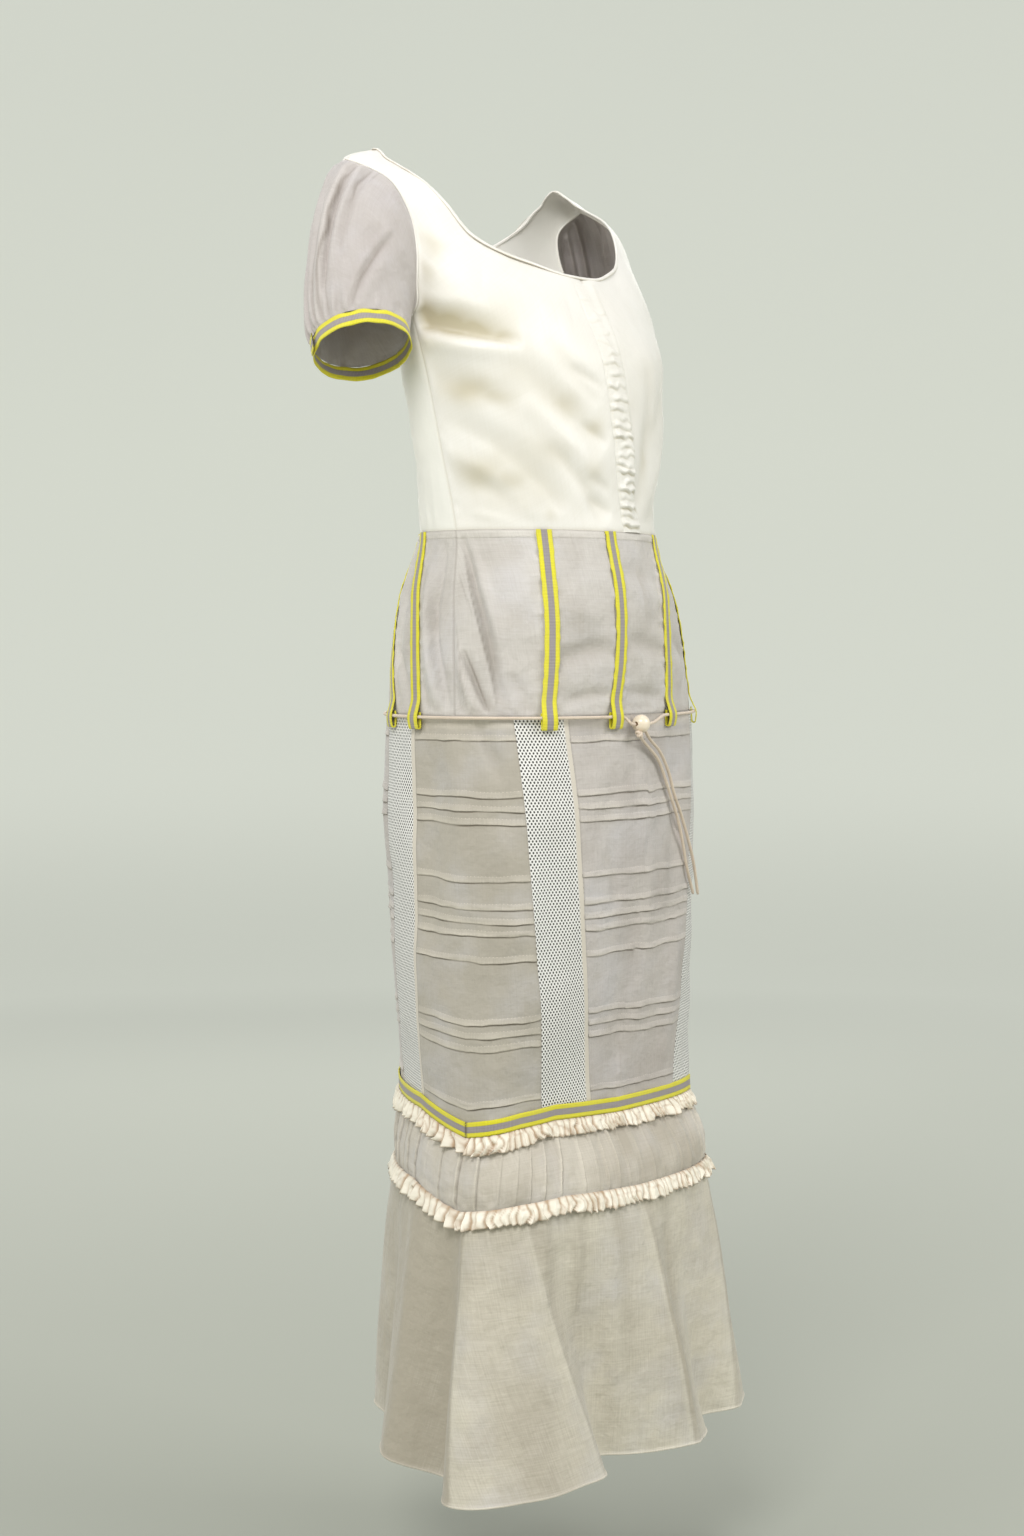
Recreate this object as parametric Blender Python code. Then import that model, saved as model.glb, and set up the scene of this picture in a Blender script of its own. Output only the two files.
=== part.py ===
"""A patchwork dress: satin bodice, puff sleeves, taped hip yoke, tucked column skirt, ruffles and flounce.

Metres, +Z up, front towards -Y, the wearer's right towards -X. The origin is between the shoulders,
where the dress is held. Every cloth piece is a thin wall on one garment form, worked out from SECTIONS.
"""
import math

import bmesh
import bpy
import numpy as np

GAP = 0.0003          # between pieces at a seam, and under a piece that lies on another
SATIN = 0.0015        # wall of the bodice and the ruffles
VOILE = 0.0014        # wall of the yoke, panels, tier, flounce and sleeves
TAPE = 0.0010         # wall of the striped tapes
TAPE_WIDTH = 0.0145
LYING = VOILE + GAP   # how far out a piece starts that lies on a panel

WAIST_Z = -0.368
YOKE_HEM_Z = -0.540
FLOUNCE_DROP = 0.252  # of the flounce, below its seam
TIER_TOP_DROP = 0.017  # of each seam below the top of the hem tape
FLOUNCE_TOP_DROP = 0.085
RUFFLE_HEIGHT = 0.014

CORD_RADIUS = 0.0015
BEAD_RADIUS = 0.0088

# One row per level: z, centre x, centre y, half width, front depth, back depth,
# roundness of the front and of the back (2 is an ellipse), twist in degrees
SECTIONS = np.array([
    (-0.005, 0.000, 0.012, 0.126, 0.007, 0.007, 2.2, 2.2, 0.0),
    (-0.022, 0.000, 0.010, 0.174, 0.030, 0.030, 2.2, 2.2, 0.0),
    (-0.050, 0.000, -0.004, 0.178, 0.074, 0.066, 2.3, 2.2, 0.0),
    (-0.100, 0.002, -0.024, 0.169, 0.094, 0.086, 2.3, 2.2, 0.0),
    (-0.150, 0.002, -0.046, 0.161, 0.104, 0.092, 2.3, 2.2, 1.0),
    (-0.213, 0.003, -0.057, 0.154, 0.120, 0.086, 2.2, 2.1, 3.0),
    (-0.290, 0.004, -0.062, 0.143, 0.116, 0.084, 2.2, 2.1, 5.0),
    (-0.365, 0.005, -0.070, 0.134, 0.106, 0.094, 2.1, 2.1, 6.0),
    (-0.430, 0.006, -0.082, 0.150, 0.112, 0.130, 2.1, 2.1, 5.0),
    (-0.490, 0.008, -0.090, 0.162, 0.108, 0.148, 2.1, 2.1, 5.0),
    (-0.545, 0.009, -0.098, 0.168, 0.098, 0.164, 2.2, 2.0, 4.0),
    (-0.620, 0.010, -0.103, 0.170, 0.092, 0.184, 2.3, 1.9, 4.0),
    (-0.700, 0.010, -0.107, 0.168, 0.084, 0.192, 2.4, 1.8, 3.0),
    (-0.800, 0.010, -0.111, 0.165, 0.070, 0.198, 2.6, 1.7, 2.0),
    (-0.920, 0.010, -0.117, 0.160, 0.050, 0.208, 2.8, 1.5, 0.0),
    (-0.990, 0.010, -0.119, 0.170, 0.075, 0.208, 2.5, 1.6, 0.0),
    (-1.130, 0.010, -0.117, 0.182, 0.084, 0.192, 2.3, 1.8, 0.0),
    (-1.275, 0.010, -0.114, 0.192, 0.092, 0.176, 2.2, 2.0, 0.0),
])

# Edges on the form, each row: around, z. Around is 0 at centre front, 1 at the left side,
# 2 at centre back and -1 at the right side
NECK_RIGHT = [(-0.065, -0.128), (-0.18, -0.127), (-0.33, -0.120), (-0.47, -0.111), (-0.57, -0.096),
              (-0.62, -0.068), (-0.67, -0.044), (-0.70, -0.032), (-0.76, -0.021), (-0.86, -0.013), (-1.0, -0.007)]
NECK_LEFT = [(-0.065, -0.128), (0.06, -0.126), (0.19, -0.117), (0.30, -0.107), (0.39, -0.094),
             (0.51, -0.066), (0.63, -0.043), (0.70, -0.032), (0.76, -0.021), (0.86, -0.013), (1.0, -0.007)]
NECK_BACK = [(2.0, -0.079), (1.82, -0.077), (1.64, -0.070), (1.48, -0.054), (1.36, -0.038), (1.28, -0.024),
             (1.17, -0.014), (1.0, -0.007)]
ARMHOLE = [(0.0, -0.170), (0.04, -0.163), (0.085, -0.143), (0.165, -0.110), (0.20, -0.078),
           (0.185, -0.050), (0.10, -0.033), (0.0, -0.023)]

# Centre front of the bodice, each row: z, around
CENTRE_FRONT = [(-0.368, 0.030), (-0.330, -0.012), (-0.270, -0.060), (-0.213, -0.090), (-0.128, -0.065)]

# Top of the hem tape, each row: around, z
HEM_TAPE_LINE = [(-2.0, -0.902), (-1.3, -0.902), (-1.0, -0.916), (-0.72, -0.907), (-0.5, -0.904),
                 (0.0, -0.910), (0.5, -0.911), (0.75, -0.911), (1.0, -0.916), (1.3, -0.904), (2.0, -0.902)]

# Skirt seams, each row: name of the panel that starts there, going round by the wearer's left,
# then around at the yoke, half way and at the hem tape
SKIRT_SEAMS = [
    ("skirt_front", -0.49, -0.385, -0.20),
    ("mesh_front_left", 0.50, 0.50, 0.53),
    ("skirt_side_left", 0.76, 0.79, 0.88),
    ("mesh_back_left", 1.21, 1.245, 1.29),
    ("skirt_back", 1.44, 1.46, 1.55),
    ("mesh_back_right", 2.56, 2.54, 2.45),
    ("skirt_side_right", 2.79, 2.755, 2.72),
    ("mesh_front_right", 3.26, 3.34, 3.44),
]

# Pintucks down each tucked panel, as distances below the yoke, single and in threes
TUCK_DROPS = [0.023, 0.073, 0.086, 0.098, 0.150, 0.175, 0.188, 0.200, 0.224, 0.281, 0.293, 0.305, 0.357]
TUCK_RISE = 0.0018

# Yoke tapes, each row: name, around at the waist, half way and at the loop
YOKE_TAPES = [
    ("yoke_tape_front_right_outer", -0.56, -0.56, -0.59),
    ("yoke_tape_front_right", -0.17, -0.19, -0.235),
    ("yoke_tape_front_left", 0.31, 0.19, 0.195),
    ("yoke_tape_front_left_outer", 0.66, 0.60, 0.60),
    ("yoke_tape_side_left", 1.28, 1.22, 1.19),
    ("yoke_tape_back_left_outer", 1.55, 1.50, 1.38),
    ("yoke_tape_back_left", 1.86, 1.84, 1.80),
    ("yoke_tape_back_right", 2.14, 2.16, 2.20),
    ("yoke_tape_back_right_outer", 2.45, 2.50, 2.62),
    ("yoke_tape_side_right", 2.72, 2.78, 2.81),
]

# A yoke tape's fold seen from its edge, each row: drop below the yoke's hem, centre of the tape out
LOOP_FOLD = [(-0.013, 0.0030), (-0.006, 0.0053), (0.001, 0.0076), (0.008, 0.0071), (0.0125, 0.0053),
             (0.0120, 0.0037), (0.0070, 0.0030), (-0.0030, 0.0030)]

CORD_OUT = 0.0053     # of the drawstring's centre off the form, in the folds of the tapes
BEAD_AROUND = -0.100
BEAD_OUT = 0.0108

# The free ends of the drawstring, each row: z, around, out
CORD_ENDS = {
    "cord_end_upper": [(-0.5549, -0.069, 0.0108), (-0.5605, -0.043, 0.0102), (-0.5770, 0.065, 0.0090),
                       (-0.5980, 0.150, 0.0080), (-0.6190, 0.215, 0.0068), (-0.6400, 0.300, 0.0064),
                       (-0.6570, 0.360, 0.0068), (-0.6870, 0.460, 0.0080), (-0.7230, 0.560, 0.0090)],
    "cord_end_lower": [(-0.5601, -0.118, 0.0123), (-0.5660, -0.065, 0.0088), (-0.5870, 0.082, 0.0058),
                       (-0.6050, 0.142, 0.0055), (-0.6250, 0.210, 0.0052), (-0.6450, 0.280, 0.0052),
                       (-0.6680, 0.345, 0.0052), (-0.6890, 0.400, 0.0052), (-0.7220, 0.530, 0.0056)],
}

# Folds of the flounce at its hem, each row: around, out from the form. Above the hem those in front
# stand further to the right by FOLD_LEAN
FLOUNCE_FOLDS = [(-1.80, 0.026), (-1.55, -0.006), (-1.28, 0.014), (-1.02, -0.012), (-0.91, 0.038),
                 (-0.74, 0.052), (-0.50, 0.036), (-0.33, 0.012), (-0.23, -0.016), (-0.08, 0.000),
                 (0.12, 0.022), (0.30, 0.026), (0.42, 0.004), (0.50, -0.006), (0.66, 0.022),
                 (0.85, 0.036), (1.08, 0.022), (1.32, -0.012), (1.58, 0.024), (1.80, 0.010), (2.00, -0.012)]
FOLD_LEAN = [(-2.0, 0.0), (-0.95, 0.0), (-0.60, 0.30), (0.45, 0.30), (1.20, 0.0), (2.0, 0.0)]

# Cuffs by side, -1 for the right: centre of the top edge, and the way up. The left arm hangs further back
CUFF_CENTRE = {-1: (-0.209, -0.040, -0.196), 1: (0.205, 0.020, -0.196)}
CUFF_AXIS = {-1: (0.24, 0.42, 0.875), 1: (-0.18, 0.02, 0.98)}
CUFF_RADIUS = 0.0435
CUFF_GATHERS = 8
CUFF_GATHER_RISE = 0.0016

RUFFLE_WAVES = 40
RUFFLE_WAVE_RISE = 0.0026
TIER_TUCKS = 26
TIER_TUCK_RISE = 0.0016
TIER_CLEARANCE = {"above": 0.0012, "below": 0.0006}  # as the tier's wall leans at its seams

COLOURS = {
    "satin": ((0.90, 0.85, 0.73), 0.38),
    "voile": ((0.58, 0.52, 0.46), 0.75),
    "sleeve_voile": ((0.62, 0.55, 0.50), 0.75),
    "mesh": ((0.82, 0.82, 0.80), 0.70),
    "tape": ((0.80, 0.74, 0.10), 0.65),
    "ruffle": ((0.90, 0.80, 0.64), 0.45),
    "cord": ((0.76, 0.64, 0.50), 0.60),
    "bead": ((0.82, 0.72, 0.58), 0.35),
}


# The garment form

def level(z):
    """The section's columns at height z, by a monotone cubic through the table."""
    zs, rows = SECTIONS[::-1, 0], SECTIONS[::-1, 1:]
    step = np.diff(zs)[:, None]
    rise = np.diff(rows, axis=0) / step
    slope = np.concatenate([rise[:1], (rise[1:] + rise[:-1]) / 2, rise[-1:]])
    steepest = 3 * np.minimum(np.abs(rise[1:]), np.abs(rise[:-1]))
    slope[1:-1] = np.where(rise[1:] * rise[:-1] > 0, np.clip(slope[1:-1], -steepest, steepest), 0)
    z = np.clip(z, zs[0], zs[-1])
    i = np.clip(np.searchsorted(zs, z, side="right") - 1, 0, len(step) - 1)
    h = step[i]
    t = (z - zs[i])[..., None] / h
    return (rows[i] * (2 * t**3 - 3 * t**2 + 1) + rows[i + 1] * (3 * t**2 - 2 * t**3)
            + slope[i] * h * (t**3 - 2 * t**2 + t) + slope[i + 1] * h * (t**3 - t**2))


def section(z, angle):
    """Point of the section at height z; the angle is 0 at the front and a quarter turn at the left."""
    cx, cy, half, front, back, front_power, back_power, twist = np.moveaxis(level(z), -1, 0)
    ahead = np.cos(angle) > 0
    power = np.where(ahead, front_power, back_power)
    x = half * np.sign(np.sin(angle)) * np.abs(np.sin(angle)) ** (2 / power)
    y = -np.where(ahead, front, back) * np.sign(np.cos(angle)) * np.abs(np.cos(angle)) ** (2 / power)
    c, s = np.cos(np.radians(twist)), np.sin(np.radians(twist))
    return np.stack([cx + x * c - y * s, cy + x * s + y * c, np.broadcast_to(z, x.shape)], -1)


LEVELS = np.linspace(SECTIONS[-1, 0], SECTIONS[0, 0], 330)
SHARES = np.linspace(0, 1, 41)


def quarter_angles():
    """For each quarter and level, the angle at each equal share of the quarter's length."""
    table = []
    for quarter in range(4):
        angle = np.linspace(0, np.pi / 2, 91) + quarter * np.pi / 2
        ring = section(LEVELS[:, None], angle[None, :])
        run = np.cumsum(np.linalg.norm(np.diff(ring, axis=1), axis=2), axis=1)
        run = np.concatenate([np.zeros((len(LEVELS), 1)), run], axis=1) / run[:, -1:]
        table.append(np.stack([np.interp(SHARES, run[k], angle) for k in range(len(LEVELS))]))
    return np.stack(table)


ANGLES = quarter_angles()


def on_form(z, around):
    """Point at height z; equal steps of around are equal lengths of cloth within each quarter."""
    z, around = np.broadcast_arrays(np.asarray(z, float), np.asarray(around, float))
    turn = np.mod(around, 4)
    quarter = np.minimum(turn.astype(int), 3)
    share = (turn - quarter) * (len(SHARES) - 1)
    row = (np.clip(z, LEVELS[0], LEVELS[-1]) - LEVELS[0]) / (LEVELS[1] - LEVELS[0])
    i = np.clip(row.astype(int), 0, len(LEVELS) - 2)
    j = np.clip(share.astype(int), 0, len(SHARES) - 2)
    p, q = row - i, share - j
    angle = ((ANGLES[quarter, i, j] * (1 - q) + ANGLES[quarter, i, j + 1] * q) * (1 - p)
             + (ANGLES[quarter, i + 1, j] * (1 - q) + ANGLES[quarter, i + 1, j + 1] * q) * p)
    return section(z, angle)


def slopes(z, around):
    """How the form's point moves with z and with around."""
    dz, da = 0.002, 0.01
    up = (on_form(z + dz, around) - on_form(z - dz, around)) / (2 * dz)
    along = (on_form(z, around + da) - on_form(z, around - da)) / (2 * da)
    return up, along


def off_form(z, around, out):
    """Point moved out from the form by a length."""
    up, along = slopes(z, around)
    normal = np.cross(along, up)
    normal /= np.linalg.norm(normal, axis=-1, keepdims=True)
    return on_form(z, around) + normal * np.asarray(out, float)[..., None]


def around_for(z, around, length):
    """The change of around that gives a length of cloth."""
    return length / np.linalg.norm(slopes(z, around)[1], axis=-1)


def smooth(rows, x, period=None):
    """Cubic curve through a table of x and value, closed if it has a period."""
    xs, ys = np.array(rows, float).T
    if period:
        xs = np.concatenate([xs[-2:] - period, xs, xs[:2] + period])
        ys = np.concatenate([ys[-2:], ys, ys[:2]])
        x = np.mod(np.asarray(x, float) - xs[2], period) + xs[2]
    slope = np.gradient(ys, xs)
    i = np.clip(np.searchsorted(xs, x, side="right") - 1, 0, len(xs) - 2)
    h = xs[i + 1] - xs[i]
    t = (x - xs[i]) / h
    return (ys[i] * (2 * t**3 - 3 * t**2 + 1) + ys[i + 1] * (3 * t**2 - 2 * t**3)
            + slope[i] * h * (t**3 - 2 * t**2 + t) + slope[i + 1] * h * (t**3 - t**2))


def edge(rows, share):
    """Around and z at shares of an edge's length on the form."""
    around, z = np.array(rows, float).T
    run = np.concatenate([[0], np.cumsum(np.linalg.norm(np.diff(on_form(z, around), axis=0), axis=1))])
    run /= run[-1]
    return smooth(list(zip(run, around)), share), smooth(list(zip(run, z)), share)


def hem_drop(around):
    """How far the skirt's lower seams run above or below their mean height."""
    around = np.mod(np.asarray(around, float) + 2, 4) - 2
    xs, zs = np.array(HEM_TAPE_LINE).T
    return np.interp(around, xs, zs)


# Building

def collection(name):
    group = bpy.data.collections.new(name)
    bpy.context.scene.collection.children.link(group)
    return group


def material(name):
    colour, roughness = COLOURS[name]
    made = bpy.data.materials.get(name) or bpy.data.materials.new(name)
    made.use_nodes = True
    shader = made.node_tree.nodes["Principled BSDF"]
    shader.inputs["Base Color"].default_value = (*colour, 1)
    shader.inputs["Roughness"].default_value = roughness
    shader.inputs["Metallic"].default_value = 0
    return made


def add(name, mesh, slot):
    piece = bpy.data.objects.new(name, mesh)
    mesh.materials.append(material(slot))
    DRESS.objects.link(piece)
    return piece


def wall(name, columns, rows, place, slot, ring=False, v_stops=None):
    """A closed wall from a grid: place(u, v, side) gives points, side 0 on the inside and 1 outside."""
    bm = bmesh.new()
    bmesh.ops.create_grid(bm, x_segments=columns, y_segments=rows, size=0.5)
    at = np.array([v.co[:2] for v in bm.verts]) + 0.5
    stops = np.linspace(0, 1, rows + 1) if v_stops is None else np.asarray(v_stops)
    u, v = at[:, 0], stops[np.rint(at[:, 1] * rows).astype(int)]
    inner, outer = place(u, v, 0), place(u, v, 1)
    verts = list(bm.verts)
    border = [e for e in bm.edges if e.is_boundary]
    if ring:
        border = [e for e in border if abs(e.verts[0].co.x - e.verts[1].co.x) > 1e-6]
    copy = bmesh.ops.duplicate(bm, geom=bm.faces[:])["vert_map"]
    for vert, point, opposite in zip(verts, outer, inner):
        copy[vert].co = opposite
        vert.co = point
    for rim in border:
        a, b = rim.verts
        bm.faces.new((a, b, copy[b], copy[a]))
    if ring:
        bmesh.ops.remove_doubles(bm, verts=bm.verts[:], dist=1e-5)
    bmesh.ops.recalc_face_normals(bm, faces=bm.faces[:])
    mesh = bpy.data.meshes.new(name)
    bm.to_mesh(mesh)
    bm.free()
    return add(name, mesh, slot)


def thick(surface, around, z, side, thickness):
    """Point of a free surface, or the one above it along the surface's own normal."""
    dz, da = 0.0005, 0.002
    up = surface(around, z + dz) - surface(around, z - dz)
    along = surface(around + da, z) - surface(around - da, z)
    normal = np.cross(along, up)
    normal /= np.linalg.norm(normal, axis=-1, keepdims=True)
    return surface(around, z) + side * thickness * normal


def tube(name, points, slot):
    """A cord through points that are read from a smooth curve."""
    curve = bpy.data.curves.new(name, "CURVE")
    curve.dimensions = "3D"
    curve.bevel_depth = CORD_RADIUS
    curve.bevel_resolution = 2
    curve.use_fill_caps = True
    spline = curve.splines.new("POLY")
    spline.points.add(len(points) - 1)
    for knot, point in zip(spline.points, points):
        knot.co = (*point, 1)
    return add(name, curve, slot)


def ball(name, centre, radii, slot, segments, rings):
    bm = bmesh.new()
    bmesh.ops.create_uvsphere(bm, u_segments=segments, v_segments=rings, radius=1)
    bmesh.ops.scale(bm, vec=radii, verts=bm.verts[:])
    mesh = bpy.data.meshes.new(name)
    bm.to_mesh(mesh)
    bm.free()
    piece = add(name, mesh, slot)
    piece.location = centre
    return piece


# Bodice

SEAM = 0.0012         # of around, left open beside each seam
SIDE_ROWS = 5         # of a bodice panel up to the underarm
ARMHOLE_ROWS = 8      # from there to the shoulder, and round each half of the sleeve
NECK_LIFT = 0.0018
BACK_STOPS = [0, 0.05, 0.1, 0.2, 0.3, 0.4, 0.5, 0.6, 0.7, 0.8, 0.9, 0.95, 1]  # two columns to a shoulder
BODICE_STOPS = [0.5 * k / SIDE_ROWS for k in range(SIDE_ROWS)]
BODICE_STOPS += [0.5 + 0.5 * k / ARMHOLE_ROWS for k in range(ARMHOLE_ROWS + 1)]


def bodice_front(name, side, neck):
    """Right front for side -1 and left front for side 1, from the side seam to centre front."""
    def place(u, v, layer):
        low = np.clip(v * 2, 0, 1)
        high = np.clip(v * 2 - 1, 0, 1)
        hole_in, hole_z = edge(ARMHOLE, high)
        neck_around, neck_z = edge(neck, high)
        below = v <= 0.5
        outer_z = np.where(below, WAIST_Z + (ARMHOLE[0][1] - WAIST_Z) * low, hole_z)
        outer = np.where(below, side, side * (1 - hole_in))
        centre_z = np.where(below, WAIST_Z + (neck[0][1] - WAIST_Z) * low, neck_z)
        centre = np.where(below, smooth(CENTRE_FRONT, centre_z), neck_around)
        outer = side * np.minimum(side * outer, 1 - SEAM)
        centre = side * np.clip(side * centre, side * smooth(CENTRE_FRONT, np.minimum(centre_z, -0.129))
                                + SEAM, 1 - SEAM)
        around = outer + (centre - outer) * u
        z = outer_z + (centre_z - outer_z) * u + GAP * (1 - v)
        return off_form(z, around, layer * SATIN)

    return wall(name, 6, SIDE_ROWS + ARMHOLE_ROWS, place, "satin", v_stops=BODICE_STOPS)


def bodice_back():
    def place(u, v, layer):
        """Between the two sides, with the armholes at the sides and the neck at the top."""
        u = np.interp(u, np.linspace(0, 1, len(BACK_STOPS)), BACK_STOPS)
        low, high = np.clip(v * 2, 0, 1), np.clip(v * 2 - 1, 0, 1)
        hole_in, hole_z = edge(ARMHOLE, high)
        side_in = np.where(v <= 0.5, 0, hole_in) + SEAM
        side_z = np.where(v <= 0.5, WAIST_Z + (ARMHOLE[0][1] - WAIST_Z) * low, hole_z)
        shoulder = BACK_STOPS[2]
        half = np.abs(2 * u - 1)
        seam_share = np.clip((1 - half) / (2 * shoulder), 0, 1)
        neck_share = np.clip((1 - half - 2 * shoulder) / (1 - 2 * shoulder), 0, 1)
        neck_around, neck_z = edge(NECK_BACK[::-1], neck_share)
        on_seam = half > 1 - 2 * shoulder + 1e-6
        top_in = np.where(on_seam, SEAM, np.maximum(neck_around - 1, SEAM))
        top_z = np.where(on_seam, ARMHOLE[-1][1] + (NECK_BACK[-1][1] - ARMHOLE[-1][1]) * seam_share, neck_z)
        sign = np.where(u <= 0.5, 1, -1)
        left_in = side_in * (1 - u) + (2 - side_in) * u
        top = np.where(sign > 0, top_in, 2 - top_in)
        around = 1 + left_in + v * (top - (SEAM * (1 - u) + (2 - SEAM) * u))
        z = side_z + v * (top_z - ARMHOLE[-1][1]) + GAP * (1 - v)
        return off_form(z, around, layer * SATIN)

    return wall("bodice_back", len(BACK_STOPS) - 1, SIDE_ROWS + ARMHOLE_ROWS, place, "satin", v_stops=BODICE_STOPS)


def neck_stations():
    """Around and z of the panels' own corners along the neck, from centre front round by the right."""
    right, right_z = edge(NECK_RIGHT, np.linspace(0, 1, ARMHOLE_ROWS + 1))
    back, back_z = edge(NECK_BACK[::-1], np.linspace(0, 1, 5))
    left, left_z = edge(NECK_LEFT, np.linspace(1, 0, ARMHOLE_ROWS + 1))
    around = np.concatenate([right[:-1], -back[:-1], back[:0:-1] - 4, left[:-1] - 4])
    return around, np.concatenate([right_z[:-1], back_z[:-1], back_z[:0:-1], left_z[:-1]])


def neck_binding():
    """A narrow band just inside the edge, lifted to clear the panels' flat facets."""
    width = 0.0035
    neck_around, neck_z = neck_stations()
    count = len(neck_z)
    edge_points = on_form(neck_z, neck_around)
    run = np.roll(edge_points, -1, axis=0) - np.roll(edge_points, 1, axis=0)
    up, along = slopes(neck_z, neck_around)
    down = np.cross(np.cross(along, up), run)
    down /= np.linalg.norm(down, axis=-1, keepdims=True)
    step = np.einsum("...ij,...j->...i", np.linalg.pinv(np.stack([up, along], -1)), down)

    def place(u, v, layer):
        k = np.rint(u * count).astype(int) % count
        z, around = neck_z[k] + v * width * step[k, 0], neck_around[k] + v * width * step[k, 1]
        return off_form(z, around, SATIN + NECK_LIFT + layer * 0.0010)

    return wall("neck_binding", count, 1, place, "satin", ring=True)


def placket():
    """The button band, drawn up into ruches towards the waist."""
    top, pitch, half_width = -0.1345, 0.0205, 0.0155
    stops = [0]
    while WAIST_Z + (stops[-1] + pitch / 2) < top - 0.004:
        stops.append(stops[-1] + pitch / 2)
    height = top - WAIST_Z - GAP
    stops = [s / height for s in stops] + [1]

    def over_row(z, u, out):
        centre = smooth(CENTRE_FRONT, z)
        return off_form(z, centre + around_for(z, centre, (2 * u - 1) * half_width), out)

    def place(u, v, layer):
        """Between the bodice's own rows, so that the band lies on its facets."""
        z = WAIST_Z + GAP + v * height
        fade = np.clip((-0.19 - z) / 0.10, 0, 1)
        rise = 0.0024 * fade * np.abs(np.sin(np.pi * (z - WAIST_Z) / pitch))
        out = SATIN + GAP * 3 + layer * (0.0012 + rise)
        row_height = (NECK_RIGHT[0][1] - WAIST_Z) / SIDE_ROWS
        row = np.clip(np.floor((z - WAIST_Z) / row_height), 0, SIDE_ROWS - 1)
        low = WAIST_Z + row * row_height
        share = ((z - low) / row_height)[..., None]
        return over_row(low, u, out) * (1 - share) + over_row(low + row_height, u, out) * share

    return wall("placket", 2, len(stops) - 1, place, "satin", v_stops=stops)


# Sleeves

def armhole_ring(side, share):
    """The armhole's edge from the shoulder tip by the front, the underarm and the back."""
    front = share <= 0.5
    along = np.where(front, 1 - 2 * share, 2 * share - 1)
    inset, z = edge(ARMHOLE, along)
    return side * (1 - np.where(front, inset, -inset)), z


def cuff_frame(side):
    """Centre, up, outward and forward directions of a cuff."""
    centre, up = np.array(CUFF_CENTRE[side]), np.array(CUFF_AXIS[side])
    up /= np.linalg.norm(up)
    out = np.array([side, 0, 0]) - up * up[0] * side
    out /= np.linalg.norm(out)
    front = np.array([0, -1, 0]) + up * up[1]
    front -= out * (front @ out)
    return centre, up, out, front / np.linalg.norm(front)


def sleeve_surface(side, u, v):
    """The sleeve's outside, from the armhole at v 0 to the cuff at v 1."""
    turn = 2 * np.pi * u
    over, ahead = (1 + np.cos(turn)) / 2, np.sin(turn)
    corners = np.arange(2 * ARMHOLE_ROWS + 1) / (2 * ARMHOLE_ROWS)
    around, z = armhole_ring(side, corners)
    hole = np.stack([np.interp(np.mod(u, 1), corners, c) for c in off_form(z, around, SATIN).T], -1)
    middle = np.array([side * 0.158, -0.022, -0.090])
    inward = middle - hole
    inward /= np.linalg.norm(inward, axis=-1, keepdims=True)
    start = hole + 2 * GAP * inward
    centre, up, out, front = cuff_frame(side)
    spoke = np.cos(turn)[..., None] * out + np.sin(turn)[..., None] * front
    gather = CUFF_GATHER_RISE * np.cos(CUFF_GATHERS * turn) * np.sin(np.pi * np.clip(v, 0, 1)) ** 0.7
    end = centre + up * GAP + spoke * (CUFF_RADIUS + VOILE)
    leave = np.stack([side * (0.50 + 0.35 * over), -0.50 * ahead, -0.75 + 0.70 * over], -1)
    leave *= (0.006 + 0.026 * over ** 0.6)[..., None]
    arrive = (spoke * 0.10 + up * 0.97) * (0.007 + 0.048 * over ** 0.8)[..., None]
    t = v[..., None]
    point = ((1 - t) ** 3 * start + 3 * t * (1 - t) ** 2 * (start + leave)
             + 3 * t**2 * (1 - t) * (end + arrive) + t**3 * end)
    return point + spoke * (gather * (0.25 + 0.75 * over))[..., None]


def sleeve(name, side):
    def place(u, v, layer):
        """The outside is the surface, the inside lies a wall's thickness within."""
        du, dv = 0.004, 0.02
        along = sleeve_surface(side, u + du, v) - sleeve_surface(side, u - du, v)
        down = sleeve_surface(side, u, v + dv) - sleeve_surface(side, u, v - dv)
        normal = np.cross(down, along) * -side
        normal /= np.linalg.norm(normal, axis=-1, keepdims=True)
        return sleeve_surface(side, u, v) - (1 - layer) * VOILE * normal

    return wall(name, 4 * ARMHOLE_ROWS, 5, place, "sleeve_voile", ring=True)


def cuff_tape(name, side):
    centre, up, out, front = cuff_frame(side)

    def place(u, v, layer):
        turn = 2 * np.pi * u
        spoke = np.cos(turn)[..., None] * out + np.sin(turn)[..., None] * front
        return centre - up * TAPE_WIDTH * v[..., None] + spoke * (CUFF_RADIUS + layer * VOILE)

    return wall(name, 24, 1, place, "tape", ring=True)


# Yoke

YOKE_DROPS = [GAP, 0.040, 0.080, 0.120, WAIST_Z - YOKE_HEM_Z + LOOP_FOLD[0][0]]


def yoke_panel(name, start):
    stops = np.array(YOKE_DROPS + [WAIST_Z - YOKE_HEM_Z - GAP / 2])

    def place(u, v, layer):
        around = start + SEAM + (2 - 2 * SEAM) * u
        return off_form(WAIST_Z - v, around, layer * VOILE)

    return wall(name, 20, len(stops) - 1, place, "voile", v_stops=stops)


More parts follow.
